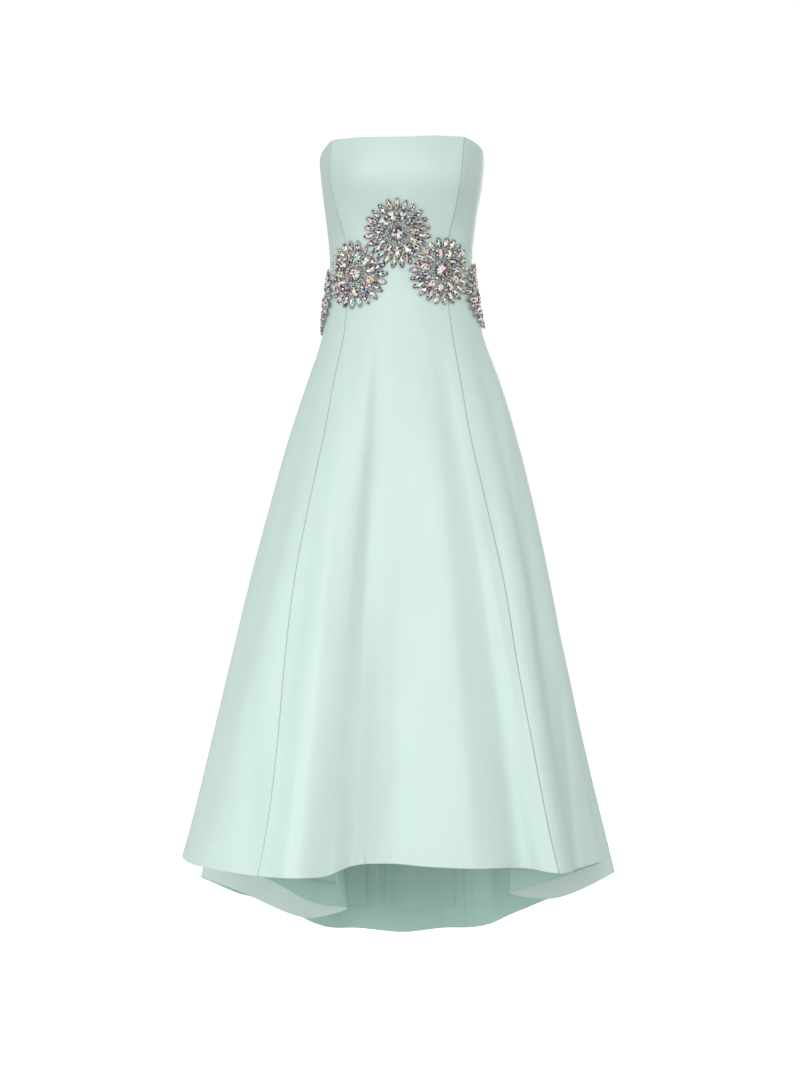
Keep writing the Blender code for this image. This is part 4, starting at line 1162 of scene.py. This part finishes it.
# %% Sew the five flowers on
for seed, row in enumerate(flower_rows):
    points, attributes = stone_places(row, 40 + seed)
    short = row["name"].replace("flower_", "")
    glass_inputs = {**stones, "Finish": glass}
    metal_inputs = {**settings, "Finish": plated}
    set_glass = grown("stones_" + short, points, attributes, set_stones, glass_inputs)
    set_metal = grown("settings_" + short, points, attributes, set_stones, metal_inputs)
    pad = felt_piece("felt_" + short, row)
    for piece in (set_glass, set_metal, pad):
        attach(piece, "dress")
    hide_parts(row["name"])
    print(row["name"], len(points), "stones,", len(set_glass.data.polygons), "facets")
for made in (*stones.values(), *settings.values()):
    bpy.data.objects.remove(made)

# %% [markdown]
# ## The zip at the centre back
#
# The zip is woven tapes with a coil of nylon along their inner edges. A slider closes it, and its pull
# hangs down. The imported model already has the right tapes, slider and pull, so these stay and get their
# real finishes. Its plain strip for the coil is replaced: Geometry Nodes put one turn of nylon after
# another on a line of points, turns from the left tape between turns from the right one.

# %% Finish the tapes, the slider and the pull
ZIP_TOP, ZIP_FOOT, ZIP_LIFT = 0.143, -0.190, 0.0008
COIL_DEEP, COIL_WIDE, COIL_STEP = 0.0020, 0.0030, 0.0015
RIB = 0.0011  # real ribs lie 0.5 mm apart, and are drawn twice as coarse to show at all


def woven_tape():
    """Woven polyester tape: it gives the eye fine dull ribs, a little darker than the satin."""
    made, tree, shader = start_material("polyester_tape_woven", {"Roughness": 0.78})
    spot = add(tree, "ShaderNodeTexCoord").outputs["Object"]
    across = {"Vector": spot, "Scale": 0.31 / RIB, "Distortion": 0.4}
    ribs = add(tree, "ShaderNodeTexWave", across, bands_direction="X")
    picks = add(tree, "ShaderNodeTexWave", {"Vector": spot, "Scale": 0.31 / RIB}, bands_direction="Z")
    crossed = {0: ribs.outputs["Fac"], 1: picks.outputs["Fac"]}
    both = add(tree, "ShaderNodeMath", crossed, operation="MULTIPLY")
    woven = [(0.0, "9cc2b5"), (1.0, "bcdccf")]
    tone = add(tree, "ShaderNodeValToRGB", {"Fac": both.outputs[0]}, stops=woven)
    tree.links.new(tone.outputs["Color"], shader.inputs["Base Color"])
    bump = add(tree, "ShaderNodeBump", {"Strength": 0.5, "Distance": 0.0001, "Height": both.outputs[0]})
    tree.links.new(bump.outputs[0], shader.inputs["Normal"])
    return made


def slider_metal():
    """Nickel-plated zinc: it gives the eye a cool grey shine, rubbed lighter on the edges."""
    made, tree, shader = start_material("zinc_cast_nickel_plated", {"Metallic": 1.0})
    spot = add(tree, "ShaderNodeTexCoord").outputs["Object"]
    rubbed = add(tree, "ShaderNodeTexNoise", {"Vector": spot, "Scale": 420.0, "Detail": 3.0})
    edges = add(tree, "ShaderNodeNewGeometry").outputs["Pointiness"]
    worn = add(tree, "ShaderNodeMath", {0: edges, 1: 0.25, 2: 0.375}, operation="MULTIPLY_ADD")
    mixed = add(tree, "ShaderNodeMath", {0: rubbed.outputs["Fac"], 1: worn.outputs[0]}, operation="MULTIPLY")
    plating = [(0.18, "868c8d"), (0.34, "b4b9b8")]
    tone = add(tree, "ShaderNodeValToRGB", {"Fac": mixed.outputs[0]}, stops=plating)
    tree.links.new(tone.outputs["Color"], shader.inputs["Base Color"])
    rough = add(tree, "ShaderNodeMapRange", {0: rubbed.outputs["Fac"], 1: 0.3, 2: 0.7, 3: 0.20, 4: 0.36})
    tree.links.new(rough.outputs[0], shader.inputs["Roughness"])
    return made


def nylon(name, dark, light, roughness):
    """Dyed nylon or polyester thread: it gives the eye a dull satin line, uneven in its dye."""
    made, tree, shader = start_material(name, {"Roughness": roughness})
    spot = add(tree, "ShaderNodeTexCoord").outputs["Object"]
    dye = add(tree, "ShaderNodeTexNoise", {"Vector": spot, "Scale": 300.0})
    tone = add(tree, "ShaderNodeValToRGB", {"Fac": dye.outputs["Fac"]}, stops=[(0.3, dark), (0.7, light)])
    tree.links.new(tone.outputs["Color"], shader.inputs["Base Color"])
    return made


tape_finish, plated_finish = woven_tape(), slider_metal()
for node, finish in (
    ("zip_tape_left", tape_finish),
    ("zip_tape_right", tape_finish),
    ("zip_slider", plated_finish),
    ("zip_pull", plated_finish),
):
    for slot in frame["nodes"][node].material_slots:
        slot.material = finish
    print(node, "is now", finish.name)


# %% Wind the coil
def tube(name, path, radius, sides):
    """A closed tube along a path of points, as a template."""
    points, faces = [], []
    for k, spot in enumerate(path):
        ahead = (Vector(path[min(k + 1, len(path) - 1)]) - Vector(path[max(k - 1, 0)])).normalized()
        across = ahead.orthogonal() if k == 0 else across - ahead * across.dot(ahead)
        across.normalize()
        other = ahead.cross(across)
        for turn in (2 * math.pi * j / sides for j in range(sides)):
            points.append(tuple(Vector(spot) + (across * math.cos(turn) + other * math.sin(turn)) * radius))
    for k in range(len(path) - 1):
        for j in range(sides):
            a, b = k * sides + j, k * sides + (j + 1) % sides
            faces.append((a, b, b + sides, a + sides))
    last = (len(path) - 1) * sides
    faces += [tuple(range(sides))[::-1], tuple(last + j for j in range(sides))]
    return template(name, points, faces, 31)


repeat_along = tree_of_copies("repeat_along_line", ("Shape",))
bend = [(0.10, -0.30), (0.42, -0.34), (0.62, -0.12), (0.62, 0.14), (0.40, 0.34), (0.10, 0.30)]
coil_turn = tube("coil_turn", [(0.22 - x, 0.0, z) for x, z in bend], 0.14, 5)
count = int((ZIP_TOP - ZIP_FOOT) / COIL_STEP * 2)
levels = np.linspace(ZIP_TOP - 0.001, ZIP_FOOT + 0.001, count)
spots = surface(np.full(count, ROUND), levels)
faces_out, _ = outward(np.full(count, ROUND), levels)
spots = spots - faces_out * (CLOTH + ZIP_LIFT + COIL_DEEP * 0.5)
turns = [tuple(cloth_axes((1.0 if k % 2 else -1.0, 0, 0), out).to_euler()) for k, out in enumerate(faces_out)]
attributes = {"turn": turns, "size": [(COIL_WIDE, COIL_STEP * 1.6, COIL_DEEP)] * count}
coil_inputs = {"Shape": coil_turn, "Finish": nylon("nylon_coil_dyed", "a9cdc0", "c3e2d6", 0.38)}
coil = grown("coil_turns", spots, attributes, repeat_along, coil_inputs)
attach(coil, "dress")
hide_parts("zip_coil")
print("coil:", count, "turns,", len(coil.data.polygons), "faces")

# %% [markdown]
# ## Stitches
#
# A maker closes such a dress by hand and machine: small slanting stitches catch the hem's turned edge to
# the cloth, an overlock holds the raw edges of the seams, a row of running stitches keeps the facing down,
# and two rows hold the zip. Each stitch is a short bowed thread. They could be painted on, but here they
# are real threads: a cloud of points for each kind of row, and the same node tree as for the coil.

# %% Sew the rows of stitches
THREAD_HALF = 0.00022
STITCH_DEEP = 0.0009  # one unit of the stitch's template, across it
OVERLOCK_STEP, HEM_STITCH_STEP, RUNNING_STEP, ZIP_STITCH_STEP = 0.0042, 0.0085, 0.0042, 0.0032
OVERLOCK_FOOT, OVERLOCK_TOP = -0.95, 0.125  # heights at which a seam's stitches are counted out
BELOW_FACING = 0.118  # they are then spread from the turned hem up to here
OVER_RAW_EDGE, OVER_TAPE = 0.0008, 0.0018  # how much further in than the allowance stitches lie
STITCH_COLUMNS = ("way", "height", "under", "along_way", "along_height", "long")


def seam_rows():
    """Overlock stitches on both raw edges of each seam, as rows of the stitch table."""
    rows = []
    for name, from_seam, to_seam, _ in PANELS:
        for seam, side in ((from_seam, 1), (to_seam, -1)):
            heights = np.arange(OVERLOCK_FOOT, OVERLOCK_TOP, OVERLOCK_STEP)
            ways = SEAMS[seam](heights)
            foot = hem(np.clip(ways, 0, ROUND), "z")
            shares = (heights - OVERLOCK_FOOT) / (OVERLOCK_TOP - OVERLOCK_FOOT)
            heights = foot + TURN_UP + 0.004 + shares * (BELOW_FACING - foot - TURN_UP)
            ways = SEAMS[seam](heights)
            _, width = outward(ways, heights)
            ways = ways + side * (ALLOWANCE - 0.0012) / width
            for k, (way, height) in enumerate(zip(ways, heights)):
                if -0.19 < height < 0.15 and "centre_back" in seam:
                    continue
                rows.append((way, height, 0.0, side * 0.8, 0.6 if k % 2 else -0.6, 0.0034))
    return rows


def hem_rows():
    """Slanting stitches over the turned edge of the hem, and running stitches along the facing."""
    ways = np.arange(0.004, ROUND - 0.003, HEM_STITCH_STEP)
    rows = [(way, hem(way, "z") + TURN_UP + 0.0006, 0.0, 0.55, 0.85, 0.0046) for way in ways]
    way = 0.004
    while way < ROUND - 0.004:
        rows.append((way, float(top_edge(way)) - 0.0040, FACING_STEP, 1.0, 0.0, 0.0027))
        way += RUNNING_STEP / float(outward(np.array(way), np.array(0.16))[1])
    return rows


def zip_rows():
    """Two rows of machine stitches that hold the tapes of the zip."""
    heights = np.arange(ZIP_FOOT + 0.004, ZIP_TOP - 0.004, ZIP_STITCH_STEP)
    rows = []
    for side, way in ((1, 0.0), (-1, ROUND)):
        _, width = outward(np.full(len(heights), way), heights)
        for height, wide in zip(heights, width):
            rows.append((way + side * 0.0105 / wide, height, 0.0, 0.0, 1.0, 0.0023))
    return rows


def sewn(name, rows, further_in=0.0):
    """One mesh of stitches on the inner side of the cloth."""
    table = dict(zip(STITCH_COLUMNS, np.array(rows, float).T))
    way, height = table["way"], table["height"]
    normals, width = outward(way, height)
    relief = lifted(way, height, width)
    under = relief - CLOTH - ALLOWANCE_STEP - table["under"] - further_in - THREAD_HALF
    points = surface(way, height) + normals * under[:, None]
    step = 0.002
    ahead = surface(way + table["along_way"] * step / width, height + table["along_height"] * step)
    start = surface(way, height)
    turns = []
    for to, here, normal in zip(ahead, start, normals):
        turns.append(tuple(cloth_axes(to - here, -normal).to_euler()))
    sizes = [(long, STITCH_DEEP, STITCH_DEEP) for long in table["long"]]
    inputs = {"Shape": thread, "Finish": sewing_thread}
    piece = grown(name, points, {"turn": turns, "size": sizes}, repeat_along, inputs)
    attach(piece, "dress")
    print(name, len(rows), "stitches,", len(piece.data.polygons), "faces")


bow = [(-0.5, 0, -0.6), (-0.3, 0, 0.12), (0.3, 0, 0.12), (0.5, 0, -0.6)]
thread = tube("thread", bow, THREAD_HALF / STITCH_DEEP, 4)
sewing_thread = nylon("polyester_thread_spun", "a6cabd", "c6e4d9", 0.6)
sewn("overlock_stitches", seam_rows(), OVER_RAW_EDGE)
sewn("hem_stitches", hem_rows())
sewn("zip_stitches", zip_rows(), OVER_TAPE)
for made in (coil_turn, thread):
    bpy.data.objects.remove(made)
new_hem = float(hem(np.linspace(0, ROUND, 400), "z").min())

# %% [markdown]
# ## Floor and backdrop
#
# A garment for a catalogue is shot on a white sweep, and the white is often taken up to pure white later. A
# curved sweep could be modelled, but two plain parts do: a floor, and a sphere far round it. Both glow by
# themselves, and light rays pass through them, so that the room's white doesn't flatten the folds.

# %% Lay the floor and hang the backdrop
FLOOR_LEVEL, FLOOR_RADIUS, FLOOR_CORNERS = -1.32, 9.0, 64
BACKDROP_RADIUS = 14
floor_mesh = bpy.data.meshes.new("studio_floor")
turns = [2 * math.pi * k / FLOOR_CORNERS for k in range(FLOOR_CORNERS)]
ring = [(FLOOR_RADIUS * math.cos(t), FLOOR_RADIUS * math.sin(t), FLOOR_LEVEL) for t in turns]
floor_mesh.from_pydata(ring, [], [tuple(range(FLOOR_CORNERS))])
floor = put_in_scene("studio_floor", floor_mesh)
# Matt white paint: it gives the eye a plain pale ground that nothing stands out from.
glow = {"Emission Color": linear("ffffff"), "Emission Strength": 0.62}
paint, tree, shader = start_material("matt_white_floor_paint", {"Roughness": 0.8, **glow})
spot = add(tree, "ShaderNodeTexCoord").outputs["Object"]
grain = add(tree, "ShaderNodeTexNoise", {"Vector": spot, "Scale": 40.0})
painted = [(0.3, "f6f6f5"), (0.7, "fafaf9")]
tone = add(tree, "ShaderNodeValToRGB", {"Fac": grain.outputs["Fac"]}, stops=painted)
tree.links.new(tone.outputs["Color"], shader.inputs["Base Color"])
floor_mesh.materials.append(paint)
floor.visible_diffuse = floor.visible_glossy = False

backdrop_mesh = bpy.data.meshes.new("white_backdrop")
ball = bmesh.new()
bmesh.ops.create_uvsphere(ball, u_segments=32, v_segments=16, radius=BACKDROP_RADIUS)
bmesh.ops.reverse_faces(ball, faces=ball.faces)
ball.to_mesh(backdrop_mesh)
ball.free()
backdrop = put_in_scene("white_backdrop", backdrop_mesh)
# Backdrop paper: it gives the eye pure white, from its own glow alone.
glow = {"Base Color": linear("000000"), "Emission Color": linear("ffffff"), "Emission Strength": 1.0}
backdrop_mesh.materials.append(start_material("white_backdrop_paper", glow)[0])
for ray in ("visible_diffuse", "visible_glossy", "visible_transmission", "visible_shadow"):
    setattr(backdrop, ray, False)
print("floor", round(FLOOR_LEVEL - new_hem, 2), "m from the lowest point of the hem")

# %% [markdown]
# ## Light
#
# Satin shows its folds by how much of a light each flank sees. One even light from all round would wash
# them out, and a single lamp would make them hard. So the room gives a soft fill, weaker from below and
# from the sides, and one tall softbox stands a little high and to the left: the sides of the dress and the
# flanks that turn away fall into a deeper mint. A second softbox does the same for the back, and two small
# weak ones lift the left and the right of the skirt.

# %% Light the room
FILL_FRONT, FILL_SIDE = 0.94, 0.50  # brightness of the room towards front and back, and towards the sides
FILL_ABOVE, FILL_BELOW = 1.20, 0.74  # shares of it, above and below the horizon
world = bpy.data.worlds.new("soft_studio_air")
bpy.context.scene.world = world
world.use_nodes = True
tree = world.node_tree
toward = add(tree, "ShaderNodeTexCoord").outputs["Generated"]
parts = add(tree, "ShaderNodeSeparateXYZ", {0: toward}).outputs
squared = add(tree, "ShaderNodeMath", {0: parts["Y"], 1: parts["Y"]}, operation="MULTIPLY").outputs[0]
level = {0: squared, 1: FILL_FRONT - FILL_SIDE, 2: FILL_SIDE}
round_about = add(tree, "ShaderNodeMath", level, operation="MULTIPLY_ADD").outputs[0]
upright = add(tree, "ShaderNodeMapRange", {0: parts["Z"], 1: -0.5, 2: 0.5, 3: FILL_BELOW, 4: FILL_ABOVE})
fill = add(tree, "ShaderNodeMath", {0: round_about, 1: upright.outputs[0]}, operation="MULTIPLY")
tree.links.new(fill.outputs[0], tree.nodes["Background"].inputs["Strength"])
tree.nodes["Background"].inputs["Color"].default_value = linear("f6f6f4")


def softbox(name, round_it, up, away, wide, high, watts, colour, aim_height=CAMERA_LEVEL, spread=180):
    """A softbox that faces the dress. Its direction is in degrees, to the left of the camera and up."""
    aim = Vector((0, 0, aim_height))
    side, rise = math.radians(round_it), math.radians(up)
    level = math.cos(rise)
    place = aim + away * Vector((-math.sin(side) * level, -math.cos(side) * level, math.sin(rise)))
    light = bpy.data.lights.new(name, "AREA")
    light.shape = "RECTANGLE"
    light.size, light.size_y = wide, high
    light.energy = watts
    light.color = linear(colour)[:3]
    light.spread = math.radians(spread)
    made = put_in_scene(name, light)
    made.location = place
    made.rotation_euler = (aim - place).to_track_quat("-Z", "Y").to_euler()
    made.visible_camera = False
    print(name, "at", [round(v, 2) for v in place], "with", watts, "W")


softbox("front_softbox", 12, 16, 4.6, 2.4, 3.2, 68, "f8fcff")
softbox("back_softbox", 192, 16, 4.6, 2.4, 3.2, 62, "fffaf4")
softbox("side_softbox", -80, 2, 2.6, 0.8, 1.5, 2.3, "f8fffc", aim_height=-0.55, spread=90)
softbox("skirt_softbox", 50, 1, 2.35, 0.6, 0.9, 2.0, "fbfdff", aim_height=-0.86, spread=75)
bpy.context.scene.view_settings.view_transform = "Standard"
bpy.context.scene.view_settings.look = "None"

# %% [markdown]
# ## The end
#
# The cloth stands a little proud of the imported model in places.

# %% Finish
import json
